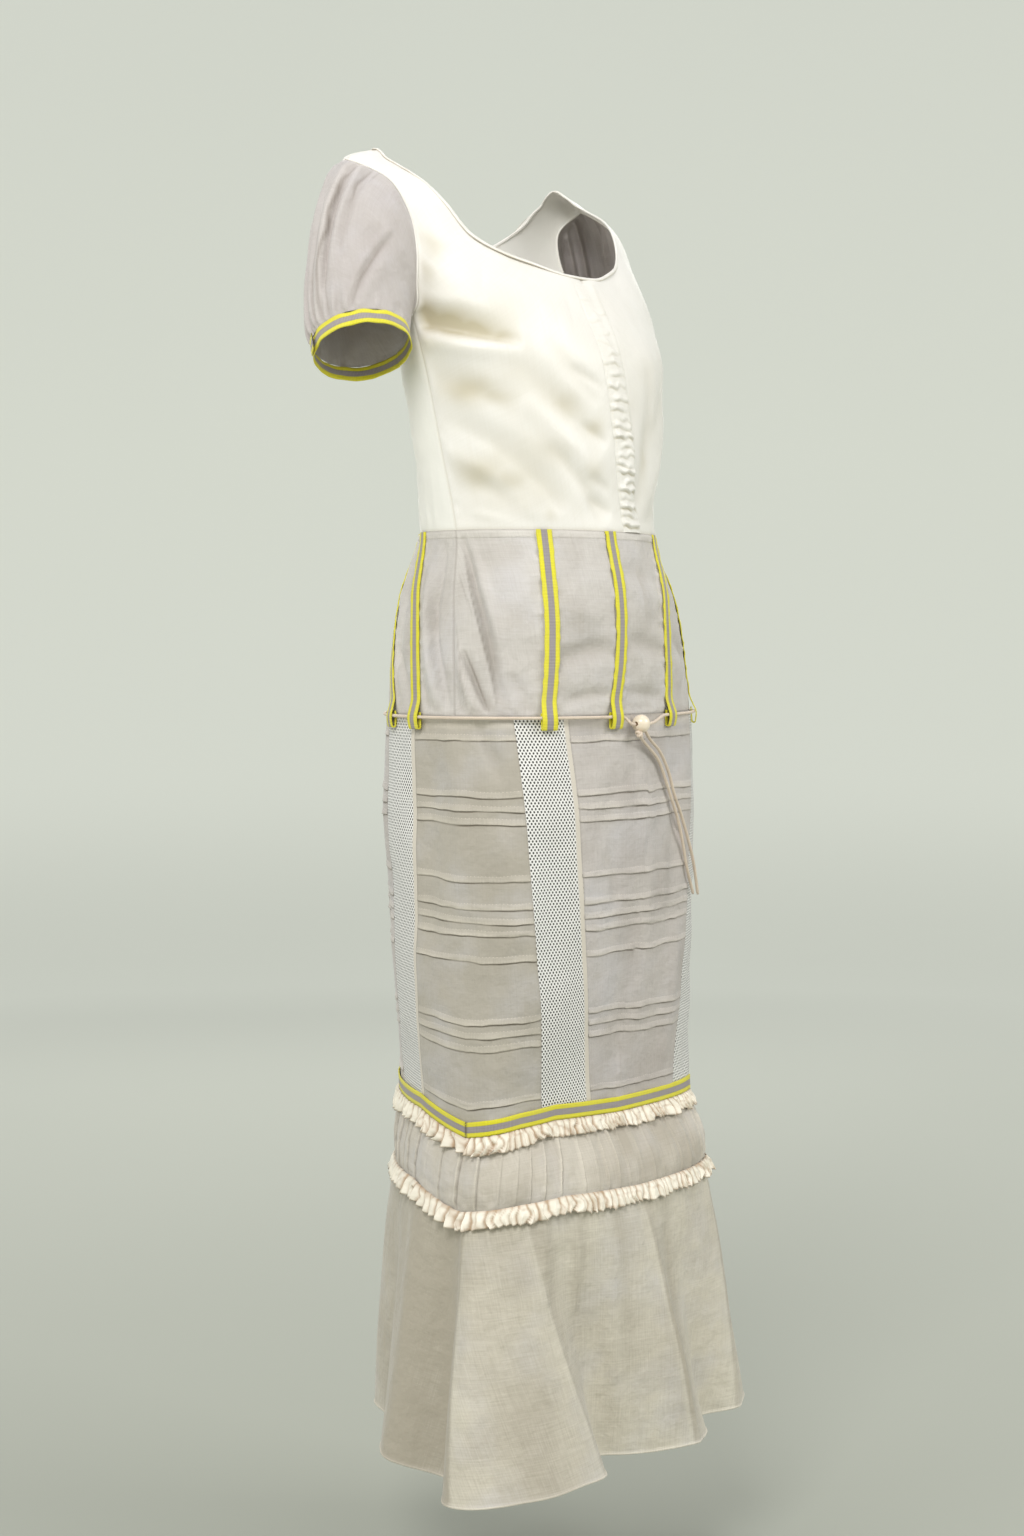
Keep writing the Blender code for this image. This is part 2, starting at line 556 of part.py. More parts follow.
def yoke_tape(name, *arounds):
    """A striped tape down the yoke, folded under at its foot to hold the cord."""
    straight = [(WAIST_Z - drop, LOOP_FOLD[0][1]) for drop in YOKE_DROPS[:-1]]
    path = np.array(straight + [(YOKE_HEM_Z - drop, out) for drop, out in LOOP_FOLD])
    ahead = np.gradient(path, axis=0)
    ahead /= np.linalg.norm(ahead, axis=1, keepdims=True)
    course = [(YOKE_HEM_Z, arounds[2]), ((WAIST_Z + YOKE_HEM_Z) / 2, arounds[1]), (WAIST_Z, arounds[0])]

    def place(u, v, layer):
        row = np.rint(v * (len(path) - 1)).astype(int)
        z = path[row, 0] + (layer - 0.5) * TAPE * ahead[row, 1]
        out = path[row, 1] - (layer - 0.5) * TAPE * ahead[row, 0]
        centre = smooth(course, np.clip(path[row, 0], YOKE_HEM_Z, WAIST_Z))
        around = centre + around_for(z, centre, (u - 0.5) * TAPE_WIDTH)
        return off_form(z, around, out)

    return wall(name, 1, len(path) - 1, place, "tape")


# Drawstring

def drawstring():
    """Round the hips through every tape's fold, and into the bead from both sides."""
    reach = (BEAD_RADIUS + 0.0005) / 0.213
    first, last = BEAD_AROUND + reach, BEAD_AROUND + 4 - reach
    z_cord, z_bead = YOKE_HEM_Z - 0.0015, YOKE_HEM_Z - 0.0085
    near_left, near_right = YOKE_TAPES[2][3] - 0.05, YOKE_TAPES[1][3] + 4 + 0.045
    stops = [first, first + 0.02, near_left, near_left + 0.012, near_left + 0.1,
             near_right - 0.1, near_right - 0.012, near_right, last - 0.02, last]
    level_part = [False, False] + [True] * 6 + [False, False]
    heights = [(at, z_cord if held else z_bead) for at, held in zip(stops, level_part)]
    outs = [(at, CORD_OUT if held else BEAD_OUT) for at, held in zip(stops, level_part)]
    around = np.concatenate([np.linspace(first, near_left, 9)[:-1], np.linspace(near_left, near_right, 48),
                             np.linspace(near_right, last, 7)[1:]])
    points = off_form(smooth(heights, around), around, smooth(outs, around))
    return tube("drawstring", points, "cord")


def cord_end(name, rows):
    z, around, out = np.array(rows).T
    route = off_form(z, around, out)
    run = np.concatenate([[0], np.cumsum(np.linalg.norm(np.diff(route, axis=0), axis=1))])
    at = np.linspace(0, run[-1], 18)
    points = np.stack([smooth(list(zip(run, route[:, k])), at) for k in range(3)], -1)
    return tube(name, points, "cord")


# Skirt

SKIRT_LENGTH = 0.384


def seam_around(seam, share):
    rows = [(0, seam[1]), (0.5, seam[2]), (1, seam[3])]
    return smooth(rows, share)


def panel_place(left, right, rise):
    """Points of a skirt panel between two seams; rise raises its outside by the drop below the yoke."""
    def place(u, v, layer):
        start = seam_around(left, v) + SEAM
        end = seam_around(right, v) - SEAM
        end = np.where(end < start, end + 4, end)
        side = np.rint((start + end) / 2)
        folded = np.where(u < 0.5, start + (side - start) * 2 * u, side + (end - side) * (2 * u - 1))
        around = np.where("side" in left[0], folded, start + (end - start) * u)
        bottom = hem_drop(around) - TIER_TOP_DROP + GAP
        z = YOKE_HEM_Z - GAP / 2 + (bottom - YOKE_HEM_Z) * v
        return off_form(z, around, layer * (VOILE + rise(v * SKIRT_LENGTH)))

    return place


def tuck_rise(drop):
    """Height of the pintucks: each is a fold that leans down over its stitching."""
    ridge = np.abs(np.asarray(drop)[..., None] - np.array(TUCK_DROPS)) < 1e-5
    return TUCK_RISE * ridge.any(axis=-1)


def tuck_stops():
    stops = [0.0]
    for d in TUCK_DROPS:
        alone = d - stops[-1] > 0.020
        stops += [d - 0.0035] * alone + [d, d + 0.0006]
    return np.array(stops + [SKIRT_LENGTH]) / SKIRT_LENGTH


def skirt_panels():
    stops = tuck_stops()
    for k, seam in enumerate(SKIRT_SEAMS):
        following = SKIRT_SEAMS[(k + 1) % len(SKIRT_SEAMS)]
        if seam[0].startswith("skirt"):
            columns = 4 if "side" in seam[0] else 6
            place = panel_place(seam, following, tuck_rise)
            wall(seam[0], columns, len(stops) - 1, place, "voile", v_stops=stops)
        else:
            place = panel_place(seam, following, lambda drop: 0 * drop)
            wall(seam[0], 2, 10, place, "mesh", v_stops=[*np.linspace(0, stops[-2], 10), 1])


def hem_tape():
    def place(u, v, layer):
        around = 4 * u
        return off_form(hem_drop(around) - TAPE_WIDTH * v, around, LYING + 2 * GAP + layer * TAPE)

    return wall("hem_tape", 80, 1, place, "tape", ring=True)


def ruffle(name, top_drop):
    """A gathered strip, standing out and waving more towards its free edge."""
    def surface(around, z):
        share = (hem_drop(around) - top_drop - z) / RUFFLE_HEIGHT
        wave = (1 + np.cos(2 * np.pi * RUFFLE_WAVES * around / 4)) * RUFFLE_WAVE_RISE
        return off_form(z, around, LYING + 2 * GAP + (0.0048 + wave) * share + wave * 0.2)

    def place(u, v, layer):
        around = 4 * u
        z = hem_drop(around) - top_drop - RUFFLE_HEIGHT * v
        return thick(surface, around, z, layer, SATIN)

    return wall(name, RUFFLE_WAVES * 4, 1, place, "ruffle", ring=True)


def tier(name, start):
    """The gathered band between the ruffles, with upright tucks."""
    def surface(around, z):
        top = hem_drop(around) - TIER_TOP_DROP
        share = np.clip((top - z) / (FLOUNCE_TOP_DROP - TIER_TOP_DROP), 0, 1)
        tuck = (1 + np.cos(2 * np.pi * TIER_TUCKS * around / 4)) * TIER_TUCK_RISE
        return off_form(z, around, (0.0035 + tuck) * np.sin(np.pi * share) ** 1.2)

    def place(u, v, layer):
        around = start + SEAM + (2 - 2 * SEAM) * u
        top = hem_drop(around) - TIER_TOP_DROP - TIER_CLEARANCE["above"]
        z = top - (FLOUNCE_TOP_DROP - TIER_TOP_DROP - sum(TIER_CLEARANCE.values())) * v
        return thick(surface, around, z, layer, VOILE)

    return wall(name, TIER_TUCKS * 2, 2, place, "voile")


def flounce_surface(around, z):
    top = hem_drop(around) - FLOUNCE_TOP_DROP
    share = np.clip((top - z) / FLOUNCE_DROP, 0, None)
    turned = np.mod(np.asarray(around) + 2, 4) - 2
    lean = np.interp(turned, *np.array(FOLD_LEAN).T)
    fold = smooth(FLOUNCE_FOLDS, turned + lean * (1 - np.minimum(share, 1)), period=4)
    return off_form(z, around, fold * share ** 1.15)


def flounce(name, start):
    def place(u, v, layer):
        around = start + SEAM + (2 - 2 * SEAM) * u
        z = hem_drop(around) - FLOUNCE_TOP_DROP - GAP / 2 - FLOUNCE_DROP * v
        return thick(flounce_surface, around, z, layer, VOILE)

    return wall(name, 30, 5, place, "voile")


for old in list(bpy.data.objects):
    bpy.data.objects.remove(old, do_unlink=True)
DRESS = collection("patchwork_dress")

bodice_front("bodice_front_right", -1, NECK_RIGHT)
bodice_front("bodice_front_left", 1, NECK_LEFT)
bodice_back()
neck_binding()
placket()
for side_name, side_sign in (("right", -1), ("left", 1)):
    sleeve("sleeve_" + side_name, side_sign)
    cuff_tape("cuff_tape_" + side_name, side_sign)
yoke_panel("yoke_front", -1)
yoke_panel("yoke_back", 1)
for tape_row in YOKE_TAPES:
    yoke_tape(*tape_row)
drawstring()
bead_centre = off_form(np.array(YOKE_HEM_Z - 0.0085), np.array(BEAD_AROUND), BEAD_OUT)
ball("bead", bead_centre, (BEAD_RADIUS, BEAD_RADIUS, 0.0082), "bead", 12, 8)
ball("cord_knot", bead_centre + np.array([-0.0072, -0.0033, -0.0094]), (0.0042, 0.0036, 0.0036), "cord", 10, 7)
for end_name, end_rows in CORD_ENDS.items():
    cord_end(end_name, end_rows)
skirt_panels()
hem_tape()
ruffle("ruffle_upper", TAPE_WIDTH + SATIN)
ruffle("ruffle_lower", FLOUNCE_TOP_DROP - 0.003)
tier("tier_front", -1)
tier("tier_back", 1)
flounce("flounce_front", -1)
flounce("flounce_back", 1)
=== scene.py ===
import math

import bpy
import numpy as np
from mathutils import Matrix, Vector


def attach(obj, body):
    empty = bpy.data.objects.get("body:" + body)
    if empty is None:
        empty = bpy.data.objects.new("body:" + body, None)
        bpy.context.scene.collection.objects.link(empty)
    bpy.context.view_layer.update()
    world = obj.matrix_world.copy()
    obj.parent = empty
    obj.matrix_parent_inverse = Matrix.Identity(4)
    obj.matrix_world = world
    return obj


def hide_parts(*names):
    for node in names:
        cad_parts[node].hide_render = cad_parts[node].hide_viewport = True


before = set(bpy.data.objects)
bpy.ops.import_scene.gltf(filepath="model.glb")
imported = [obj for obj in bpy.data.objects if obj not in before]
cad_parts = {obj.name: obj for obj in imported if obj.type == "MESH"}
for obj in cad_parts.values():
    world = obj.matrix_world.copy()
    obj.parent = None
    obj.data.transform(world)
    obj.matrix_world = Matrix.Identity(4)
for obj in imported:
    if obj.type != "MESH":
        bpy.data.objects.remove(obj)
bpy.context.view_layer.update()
print("frame loaded")

# Camera first: to the front and the wearer's right of the dress, a little above its middle and tipped down
cameraView = {"turn": -50.0, "distance": 2.3, "focalPixels": 2300.0, "imageHeight": 1536.0, "sensor": 36.0,
              "height": -0.47, "aside": 0.034, "horizonRow": 640.0, "farthest": 60.0}


def placeCamera(view):
    turn = math.radians(view["turn"])
    right = Vector((math.cos(turn), math.sin(turn), 0))
    ahead = Vector((-math.sin(turn), math.cos(turn), 0))
    tip = math.atan((view["imageHeight"] / 2 - view["horizonRow"]) / view["focalPixels"])
    lens = bpy.data.cameras.new("camera")
    lens.sensor_width = view["sensor"]
    lens.lens = view["focalPixels"] / view["imageHeight"] * view["sensor"]
    lens.clip_end = view["farthest"]
    camera = bpy.data.objects.new("camera", lens)
    bpy.context.scene.collection.objects.link(camera)
    camera.location = right * view["aside"] - ahead * view["distance"] + Vector((0, 0, view["height"]))
    look = ahead * math.cos(tip) - Vector((0, 0, 1)) * math.sin(tip)
    camera.rotation_euler = look.to_track_quat("-Z", "Y").to_euler()
    bpy.context.scene.camera = camera


placeCamera(cameraView)

# The form that the whole dress is cut on. Each row: z, centre x, centre y, half width, front depth,
# back depth, roundness of front and back, twist in degrees
formSections = np.array([
    (-.005, 0, .012, .126, .007, .007, 2.2, 2.2, 0), (-.022, 0, .01, .174, .03, .03, 2.2, 2.2, 0),
    (-.05, 0, -.004, .178, .074, .066, 2.3, 2.2, 0), (-.1, .002, -.024, .169, .094, .086, 2.3, 2.2, 0),
    (-.15, .002, -.046, .161, .104, .092, 2.3, 2.2, 1), (-.213, .003, -.057, .154, .12, .086, 2.2, 2.1, 3),
    (-.29, .004, -.062, .143, .116, .084, 2.2, 2.1, 5), (-.365, .005, -.07, .134, .106, .094, 2.1, 2.1, 6),
    (-.43, .006, -.082, .15, .112, .13, 2.1, 2.1, 5), (-.49, .008, -.09, .162, .108, .148, 2.1, 2.1, 5),
    (-.545, .009, -.098, .168, .098, .164, 2.2, 2, 4), (-.62, .01, -.103, .17, .092, .184, 2.3, 1.9, 4),
    (-.7, .01, -.107, .168, .084, .192, 2.4, 1.8, 3), (-.8, .01, -.111, .165, .07, .198, 2.6, 1.7, 2),
    (-.92, .01, -.117, .16, .05, .208, 2.8, 1.5, 0), (-.99, .01, -.119, .17, .075, .208, 2.5, 1.6, 0),
    (-1.13, .01, -.117, .182, .084, .192, 2.3, 1.8, 0), (-1.275, .01, -.114, .192, .092, .176, 2.2, 2, 0)])
waistZ, yokeHemZ = -0.368, -0.540
satinWall, voileWall, tapeWall = 0.0015, 0.0014, 0.0010
tapeWidth = 0.0145
quarterLength = 0.21    # of cloth for one step of around, near enough for placing creases


def limit(value, low=0, high=1):
    return np.clip(value, low, high)


def unit(vectors):
    return vectors / np.linalg.norm(vectors, axis=-1, keepdims=True)


def runAlong(points):  # length from the first point to each one
    return np.concatenate([[0], np.cumsum(np.linalg.norm(np.diff(points, axis=0), axis=1))])


def bell(value):  # 1 at 0, falling off to both sides
    return np.exp(-value ** 2)


def wrapped(value, period):
    return np.mod(value + period / 2, period) - period / 2


def clothAcross(around):
    return np.mod(around, 4) * quarterLength


def hermite(first, last, firstSlope, lastSlope, step, t):
    return (first * (2 * t**3 - 3 * t**2 + 1) + last * (3 * t**2 - 2 * t**3)
            + firstSlope * step * (t**3 - 2 * t**2 + t) + lastSlope * step * (t**3 - t**2))


def level(z):
    zs, rows = formSections[::-1, 0], formSections[::-1, 1:]
    step = np.diff(zs)[:, None]
    rise = np.diff(rows, axis=0) / step
    slope = np.concatenate([rise[:1], (rise[1:] + rise[:-1]) / 2, rise[-1:]])
    steepest = 3 * np.minimum(np.abs(rise[1:]), np.abs(rise[:-1]))
    slope[1:-1] = np.where(rise[1:] * rise[:-1] > 0, limit(slope[1:-1], -steepest, steepest), 0)
    z = limit(z, zs[0], zs[-1])
    i = limit(np.searchsorted(zs, z, side="right") - 1, 0, len(step) - 1)
    return hermite(rows[i], rows[i + 1], slope[i], slope[i + 1], step[i], (z - zs[i])[..., None] / step[i])


def section(z, angle):
    cx, cy, half, front, back, frontPower, backPower, twist = np.moveaxis(level(z), -1, 0)
    ahead = np.cos(angle) > 0
    power = np.where(ahead, frontPower, backPower)
    x = half * np.sign(np.sin(angle)) * np.abs(np.sin(angle)) ** (2 / power)
    y = -np.where(ahead, front, back) * np.sign(np.cos(angle)) * np.abs(np.cos(angle)) ** (2 / power)
    c, s = np.cos(np.radians(twist)), np.sin(np.radians(twist))
    return np.stack([cx + x * c - y * s, cy + x * s + y * c, np.broadcast_to(z, x.shape)], -1)


formLevels = np.linspace(formSections[-1, 0], formSections[0, 0], 330)
quarterShares = np.linspace(0, 1, 41)


def quarterAngles():  # the angles that part each quarter into equal lengths of cloth
    table = []
    for quarter in range(4):
        angle = np.linspace(0, np.pi / 2, 91) + quarter * np.pi / 2
        ring = section(formLevels[:, None], angle[None, :])
        run = np.cumsum(np.linalg.norm(np.diff(ring, axis=1), axis=2), axis=1)
        run = np.concatenate([np.zeros((len(formLevels), 1)), run], axis=1) / run[:, -1:]
        table.append(np.stack([np.interp(quarterShares, row, angle) for row in run]))
    return np.stack(table)


formAngles = quarterAngles()


# Around is 0 at centre front, 1 at the left side, 2 at centre back and -1 at the right side
def onForm(z, around):
    z, around = np.broadcast_arrays(np.asarray(z, float), np.asarray(around, float))
    turn = np.mod(around, 4)
    quarter = np.minimum(turn.astype(int), 3)
    share = (turn - quarter) * (len(quarterShares) - 1)
    row = (limit(z, formLevels[0], formLevels[-1]) - formLevels[0]) / (formLevels[1] - formLevels[0])
    i = limit(row.astype(int), 0, len(formLevels) - 2)
    j = limit(share.astype(int), 0, len(quarterShares) - 2)
    p, q = row - i, share - j
    angle = ((formAngles[quarter, i, j] * (1 - q) + formAngles[quarter, i, j + 1] * q) * (1 - p)
             + (formAngles[quarter, i + 1, j] * (1 - q) + formAngles[quarter, i + 1, j + 1] * q) * p)
    return section(z, angle)


def slopes(z, around):
    dz, da = 0.002, 0.01
    up = (onForm(z + dz, around) - onForm(z - dz, around)) / (2 * dz)
    along = (onForm(z, around + da) - onForm(z, around - da)) / (2 * da)
    return up, along


def outward(z, around):
    up, along = slopes(z, around)
    return np.cross(along, up)


def offForm(z, around, out):
    z, around, out = np.broadcast_arrays(*(np.asarray(value, float) for value in (z, around, out)))
    return onForm(z, around) + unit(outward(z, around)) * out[..., None]


def aroundFor(z, around, length):
    return length / np.linalg.norm(slopes(z, around)[1], axis=-1)


def smooth(rows, x, period=None):
    xs, ys = np.array(rows, float).T
    if period:
        xs = np.concatenate([xs[-2:] - period, xs, xs[:2] + period])
        ys = np.concatenate([ys[-2:], ys, ys[:2]])
        x = np.mod(np.asarray(x, float) - xs[2], period) + xs[2]
    slope = np.gradient(ys, xs)
    i = limit(np.searchsorted(xs, x, side="right") - 1, 0, len(xs) - 2)
    step = xs[i + 1] - xs[i]
    return hermite(ys[i], ys[i + 1], slope[i], slope[i + 1], step, (x - xs[i]) / step)


def smoothPath(run, path, at):
    return np.stack([smooth(list(zip(run, column)), at) for column in path.T], -1)


def edgeLine(rows, share):
    around, z = np.array(rows, float).T
    run = runAlong(onForm(z, around))
    run /= run[-1]
    return smooth(list(zip(run, around)), share), smooth(list(zip(run, z)), share)


def softNoise(x, y, size, seed):  # even values from -1 to 1, smooth over a length
    table = np.random.default_rng(seed).uniform(-1, 1, (97, 97))
    x, y = np.broadcast_arrays(np.asarray(x, float) / size, np.asarray(y, float) / size)
    i, j = np.floor(x).astype(int), np.floor(y).astype(int)
    p, q = x - i, y - j
    p, q = p * p * (3 - 2 * p), q * q * (3 - 2 * q)
    i, j, k, m = i % 97, j % 97, (i + 1) % 97, (j + 1) % 97
    return (table[i, j] * (1 - p) + table[k, j] * p) * (1 - q) + (table[i, m] * (1 - p) + table[k, m] * p) * q


def unevenness(x, y, *rows):  # each row: length, height, seed
    return sum(height * softNoise(x, y, size, seed) for size, height, seed in rows)


def creases(around, z, rows):
    # Each row: around and z of both ends, bow, width, height (a trough when below 0), lean if any
    x = np.asarray(around, float) * quarterLength
    total = np.zeros(np.broadcast(x, z).shape)
    for around0, z0, around1, z1, bow, width, height, *lean in rows:
        run = np.array([(around1 - around0) * quarterLength, z1 - z0])
        length = np.hypot(*run)
        run /= length
        dx, dz = x - around0 * quarterLength, z - z0
        along = (dx * run[0] + dz * run[1]) / length
        side = -dx * run[1] + dz * run[0] - bow * 4 * along * (1 - along)
        lean = sum(lean)
        wide = width * np.where(side > 0, 1 + lean, 1 - lean)
        total = total + height * bell(side / wide) * limit(4 * along * (1 - along)) ** 0.6
    return total


def creasesRound(around, z, rows):
    return sum(creases(around + turn, z, rows) for turn in (-4, 0, 4))


# Meshes

def addPiece(name, mesh, finish, nodes=()):
    first, *rest = name.split("_")
    piece = bpy.data.objects.new(first + "".join(word.capitalize() for word in rest), mesh)
    mesh.materials.append(finish)
    bpy.context.scene.collection.objects.link(piece)
    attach(piece, "root")
    if nodes:
        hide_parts(*nodes)
    return piece


def meshFrom(name, points, faces, uv, marks=None):
    points, faces = np.asarray(points, float), np.asarray(faces, np.int64)
    kept, joined = np.unique(np.round(points, 7), axis=0, return_index=True, return_inverse=True)[1:]
    welded = joined.reshape(-1)[faces]  # points in one place become one, so that rings and ends close
    corner = welded != np.roll(welded, -1, axis=1)
    whole = corner.sum(axis=1) >= 3
    welded, faces, corner = welded[whole], faces[whole], corner[whole]
    sizes = corner.sum(axis=1)
    mesh = bpy.data.meshes.new(name)
    mesh.vertices.add(len(kept))
    mesh.vertices.foreach_set("co", points[kept].astype(np.float32).ravel())
    mesh.loops.add(int(sizes.sum()))
    mesh.loops.foreach_set("vertex_index", welded[corner].astype(np.int32))
    mesh.polygons.add(len(sizes))
    mesh.polygons.foreach_set("loop_start", np.concatenate([[0], np.cumsum(sizes)[:-1]]).astype(np.int32))
    mesh.polygons.foreach_set("use_smooth", np.ones(len(sizes), bool))
    mesh.update(calc_edges=True)
    layer = mesh.uv_layers.new(name="cloth")
    layer.data.foreach_set("uv", np.asarray(uv, np.float32)[faces[corner]].ravel())
    for key, values in (marks or {}).items():
        mark = mesh.attributes.new(key, "FLOAT", "POINT")
        mark.data.foreach_set("value", np.broadcast_to(values, (len(points),))[kept].astype(np.float32))
    mesh.validate()
    return mesh


def clothLengths(points):  # metres of cloth across from the middle column, and down from the top row
    across = np.concatenate([np.zeros((len(points), 1)),
                             np.cumsum(np.linalg.norm(np.diff(points, axis=1), axis=2), axis=1)], axis=1)
    across -= across[:, across.shape[1] // 2:across.shape[1] // 2 + 1]
    down = np.concatenate([np.zeros((1, points.shape[1])),
                           np.cumsum(np.linalg.norm(np.diff(points, axis=0), axis=2), axis=0)], axis=0)
    return np.stack([across, down], -1)


def gridUv(across, down):
    return np.stack(np.broadcast_arrays(across, down), -1)


def gridFaces(rows, columns, flip=False):
    index = np.arange(rows * columns).reshape(rows, columns)
    corners = [index[:-1, :-1], index[1:, :-1], index[1:, 1:], index[:-1, 1:]]
    return np.stack(corners[:1] + corners[:0:-1] if flip else corners, -1).reshape(-1, 4)


def clothGrid(name, points, finish, nodes=(), uv=None, marks=None, flip=False):
    shape = points.shape[:2]
    uv = clothLengths(points) if uv is None else uv
    marks = {key: np.broadcast_to(values, shape).ravel() for key, values in (marks or {}).items()}
    mesh = meshFrom(name, points.reshape(-1, 3), gridFaces(*shape, flip), uv.reshape(-1, 2), marks)
    return addPiece(name, mesh, finish, nodes)


def wrapBand(outer, inner, uvOuter):  # a thin closed band: out across its face, back across its underside
    rim = (outer[:, -1:] + inner[:, -1:]) / 2
    start = (outer[:, :1] + inner[:, :1]) / 2
    points = np.concatenate([start, outer, rim, inner[:, ::-1], start], axis=1)
    uv = np.concatenate([uvOuter[:, :1], uvOuter, uvOuter[:, -1:], uvOuter[:, ::-1], uvOuter[:, :1]], axis=1)
    return points, uv


def tubeGrid(route, radius, sides=12):
    route = np.asarray(route, float)
    ahead = unit(np.gradient(route, axis=0))
    side = np.cross(ahead, [0.0, 0.0, 1.0])
    weak = np.linalg.norm(side, axis=1) < 0.2
    side[weak] = np.cross(ahead[weak], [0.3, -0.9, 0.1])
    side = unit(side)
    for k in range(1, len(side)):  # carried along, so that the tube doesn't twist
        side[k] = unit(side[k - 1] - ahead[k] * (side[k - 1] @ ahead[k]))
    over = np.cross(side, ahead)
    turn = np.linspace(0, 2 * np.pi, sides + 1)
    radius = np.broadcast_to(radius, (len(route),))
    points = (route[:, None] + (np.cos(turn)[None, :, None] * side[:, None]
                                + np.sin(turn)[None, :, None] * over[:, None]) * radius[:, None, None])
    return points, gridUv((turn / (2 * np.pi))[None, :], runAlong(route)[:, None])


def addTube(name, route, radius, finish, nodes):
    points, uv = tubeGrid(route, radius)
    ends = np.broadcast_to(radius, (len(points),))
    first = np.broadcast_to(route[0], points[:1].shape)
    last = np.broadcast_to(route[-1], points[-1:].shape)
    points = np.concatenate([first, points, last])
    uv = np.concatenate([uv[:1] - [0, ends[0]], uv, uv[-1:] + [0, ends[-1]]])
    return clothGrid(name, points, finish, nodes, uv=uv)


stitchShape = {"width": 0.00026, "height": 0.00022,
               "points": np.array([(-0.5, 0, -0.4), (0, 1, 0), (0, 0, 1), (0, -1, 0), (0.5, 0, -0.4)]),
               "sides": np.array([(0, 1, 2), (0, 2, 3), (4, 2, 1), (4, 3, 2)]),
               "uv": np.array([(0, 0.5), (0.5, 0), (0.5, 0.5), (0.5, 1), (1, 0.5)]) * 0.002}


def addStitches(name, routes, finish, length=0.0026, gap=0.0009):
    # Each route is its points and the way out of the cloth there. A stitch is a small lozenge along it
    verts, faces = [], []
    along, aside, over = (stitchShape["points"][None, :, k:k + 1] for k in range(3))
    for route, normal in routes:
        run = runAlong(route)
        at = np.arange(length / 2, run[-1] - length / 2, length + gap)
        centre, tip, out = (np.stack([np.interp(where, run, column) for column in rows.T], -1)
                            for where, rows in ((at, route), (at + length / 2, route), (at, normal)))
        ahead, out = unit(tip - centre), unit(out)
        first = (np.arange(len(at)) + len(verts))[:, None, None] * 5
        faces.append((first + stitchShape["sides"]).reshape(-1, 3))
        verts.extend(centre[:, None] + along * ahead[:, None] * length
                     + aside * np.cross(out, ahead)[:, None] * stitchShape["width"]
                     + over * out[:, None] * stitchShape["height"])
    uv = np.tile(stitchShape["uv"], (len(verts), 1))
    return addPiece(name, meshFrom(name, np.concatenate(verts), np.concatenate(faces), uv), finish)


# Finishes: shared effects are groups, each placed in a material with its own values

class Wire:  # an output that is reckoned with like a number: each step is a Math node
    def __init__(self, socket):
        self.socket, self.tree = socket, socket.id_data

    def __add__(self, other):
        return maths("ADD", self, other)

    def __sub__(self, other):
        return maths("SUBTRACT", self, other)

    def __rsub__(self, other):
        return maths("SUBTRACT", other, self)

    def __mul__(self, other):
        return maths("MULTIPLY", self, other)

    def __truediv__(self, other):
        return maths("DIVIDE", self, other)

    def __pow__(self, other):
        return maths("POWER", self, other)

    def __abs__(self):
        return maths("ABSOLUTE", self)

    def clamped(self):
        self.socket.node.use_clamp = True
        return self


def feed(target, value):
    if isinstance(value, Wire):
        value.tree.links.new(value.socket, target)
    else:
        target.default_value = value


def addNode(tree, kind, inputs=None, out=0, **settings):
    node = tree.nodes.new(kind)
    for key, value in settings.items():
        setattr(node, key, value)
    for key, value in (inputs or {}).items():
        feed(node.inputs[key], value)
    return Wire(node.outputs[out])


def maths(operation, *values):
    tree = next(value.tree for value in values if isinstance(value, Wire))
    return addNode(tree, "ShaderNodeMath", dict(enumerate(values)), operation=operation)


def split(vector):
    node = addNode(vector.tree, "ShaderNodeSeparateXYZ", {0: vector}).socket.node
    return [Wire(node.outputs[axis]) for axis in "XYZ"]


def ramp(value, low=0.0, high=1.0, first=0.0, last=1.0, **settings):
    return addNode(value.tree, "ShaderNodeMapRange", {"Value": value, "From Min": low, "From Max": high,
                                                      "To Min": first, "To Max": last}, **settings)


def mixColour(mask, first, second):
    first, second = (colour if isinstance(colour, Wire) else (*colour, 1) for colour in (first, second))
    return addNode(mask.tree, "ShaderNodeMix", {0: mask, 6: first, 7: second}, 2, data_type="RGBA",
                   clamp_factor=True)


def makeGroup(name, inputs, outputs):
    group = bpy.data.node_groups.new(name, "ShaderNodeTree")
    for label, value in inputs.items():
        kind = "NodeSocketVector" if value is None else "NodeSocketFloat"
        socket = group.interface.new_socket(name=label, in_out="INPUT", socket_type=kind)
        if value is not None:
            socket.default_value = value
    for label in outputs:
        group.interface.new_socket(name=label, in_out="OUTPUT", socket_type="NodeSocketFloat")
    given, made = group.nodes.new("NodeGroupInput"), group.nodes.new("NodeGroupOutput")
    return group, {label: Wire(given.outputs[label]) for label in inputs}, made.inputs


def makeWeave():  # plain weave: threads over and under, each a little uneven
    inputs = {"Vector": None, "Threads Across": 2500.0, "Threads Down": 2500.0, "Unevenness": 0.3}
    group, given, made = makeGroup("plainWeave", inputs, ["Height", "Mask"])
    wander = addNode(group, "ShaderNodeTexNoise", {"Vector": given["Vector"], "Scale": 160.0, "Detail": 2.0})
    offset = (wander - 0.5) * given["Unevenness"] * 6.0
    across, down = split(given["Vector"])[:2]
    first, second = (maths("SINE", (run * given[count] + offset) * math.pi)
                     for run, count in ((across, "Threads Across"), (down, "Threads Down")))
    height = abs(first * second)
    feed(made["Height"], height)
    feed(made["Mask"], height ** 0.6)
    return group


